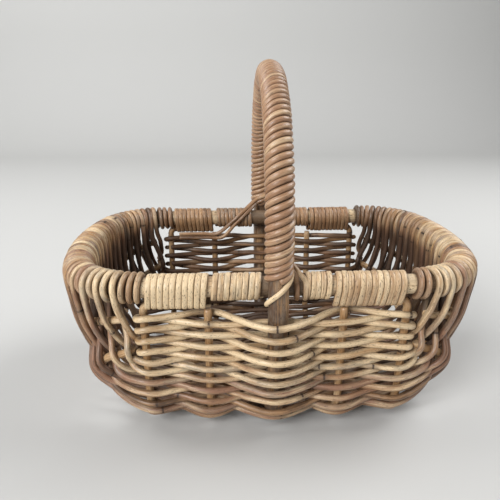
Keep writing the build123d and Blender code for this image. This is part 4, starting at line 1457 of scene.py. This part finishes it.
def add_floor():
    """Adds the floor and the backdrop as one sheet: level, a quarter circle and upright."""
    angle = np.linspace(0, math.pi / 2, 12)
    wall = BACKDROP_PLACE + BACKDROP_BEND
    bend_y = BACKDROP_PLACE + BACKDROP_BEND * np.sin(angle)
    bend_z = BACKDROP_BEND * (1 - np.cos(angle))
    y = np.concatenate([[-FLOOR_REACH], bend_y, [wall]])
    z = np.concatenate([[0.0], bend_z, [FLOOR_REACH]]) - FLOOR_DROP
    x = np.array([-FLOOR_REACH, FLOOR_REACH])
    places = np.stack(np.broadcast_arrays(x[None, :], y[:, None], z[:, None]), -1)
    faces = np.arange(len(y) - 1)[:, None] * 2 + np.array([0, 1, 3, 2])
    mesh = bpy.data.meshes.new("floor")
    mesh.from_pydata(places.reshape(-1, 3).tolist(), [], faces.tolist())
    mesh.polygons.foreach_set("use_smooth", np.ones(len(faces), bool))
    floor = bpy.data.objects.new("floor", mesh)
    bpy.context.scene.collection.objects.link(floor)
    material = bpy.data.materials.new("floor")
    material.use_nodes = True
    shader = material.node_tree.nodes["Principled BSDF"]
    shader.inputs["Base Color"].default_value = (*colours().floor, 1)
    shader.inputs["Roughness"].default_value = FLOOR_ROUGHNESS
    mesh.materials.append(material)


def light_room():
    """Lights the room by its world, which looks brighter than it shines, and by the lamps."""
    scene = bpy.context.scene
    scene.world = scene.world or bpy.data.worlds.new("room")
    scene.world.use_nodes = True
    tree = Tree(scene.world.node_tree)
    background = scene.world.node_tree.nodes["Background"]
    tree.put((1, 1, 1), background.inputs["Color"])
    rays = tree.node("ShaderNodeLightPath").outputs
    seen = tree.maths("MAXIMUM", rays["Is Camera Ray"], rays["Is Glossy Ray"])
    strength = tree.ramp(seen, 0.0, 1.0, ROOM_LIGHT, ROOM_SEEN)
    tree.put(strength, background.inputs["Strength"])
    for name, lamp in LAMPS.items():
        add_lamp(name, *lamp)


def add_camera():
    """Adds the camera, level from left to right, and makes it the scene's."""
    camera = bpy.data.cameras.new("camera")
    camera.sensor_width, camera.lens = CAMERA_SENSOR, CAMERA_LENS
    camera.clip_start, camera.clip_end = CAMERA_CLIP
    holder = bpy.data.objects.new("camera", camera)
    holder.location = CAMERA_PLACE
    holder.rotation_euler = (math.pi / 2 - CAMERA_PITCH, 0, -CAMERA_YAW)
    bpy.context.scene.collection.objects.link(holder)
    bpy.context.scene.camera = holder


class TRUG_OT_stage(TrugOperator, bpy.types.Operator):
    """Adds the plain floor and backdrop, the lamps and the camera"""

    bl_idname = "trug.stage"
    bl_label = "Stage"

    def execute(self, context):
        context.scene.view_settings.view_transform = "Standard"
        add_floor()
        light_room()
        add_camera()
        return {"FINISHED"}


OPERATORS = (
    TRUG_OT_stage,
    TRUG_OT_rim,
    TRUG_OT_hoop,
    TRUG_OT_ribs,
    TRUG_OT_rim_windings,
    TRUG_OT_handle_windings,
    TRUG_OT_lashings,
    TRUG_OT_long_canes,
    TRUG_OT_short_canes,
)


class TRUG_PT_panel(bpy.types.Panel):
    """The trug's pieces, sizes and colours"""

    bl_idname = "TRUG_PT_panel"
    bl_label = "Trug"
    bl_space_type = "VIEW_3D"
    bl_region_type = "UI"
    bl_category = "Trug"

    def draw(self, context):
        for operator in OPERATORS:
            self.layout.operator(operator.bl_idname)
        for group in (context.scene.trug_sizes, context.scene.trug_colours):
            box = self.layout.box()
            for name in group.bl_rna.properties.keys():
                if name not in ("rna_type", "name"):
                    box.prop(group, name)


CLASSES = (TrugSizes, TrugColours, *OPERATORS, TRUG_PT_panel)


def register():
    """Registers the classes and gives the scene its sizes and colours."""
    for cls in CLASSES:
        bpy.utils.register_class(cls)
    bpy.types.Scene.trug_sizes = PointerProperty(type=TrugSizes)
    bpy.types.Scene.trug_colours = PointerProperty(type=TrugColours)


def unregister():
    """Takes the sizes, the colours and the classes away again."""
    del bpy.types.Scene.trug_sizes
    del bpy.types.Scene.trug_colours
    for cls in reversed(CLASSES):
        bpy.utils.unregister_class(cls)


def main():
    """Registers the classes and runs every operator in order."""
    register()
    for operator in OPERATORS:
        group, name = operator.bl_idname.split(".")
        getattr(getattr(bpy.ops, group), name)()


if __name__ == "__main__":
    main()
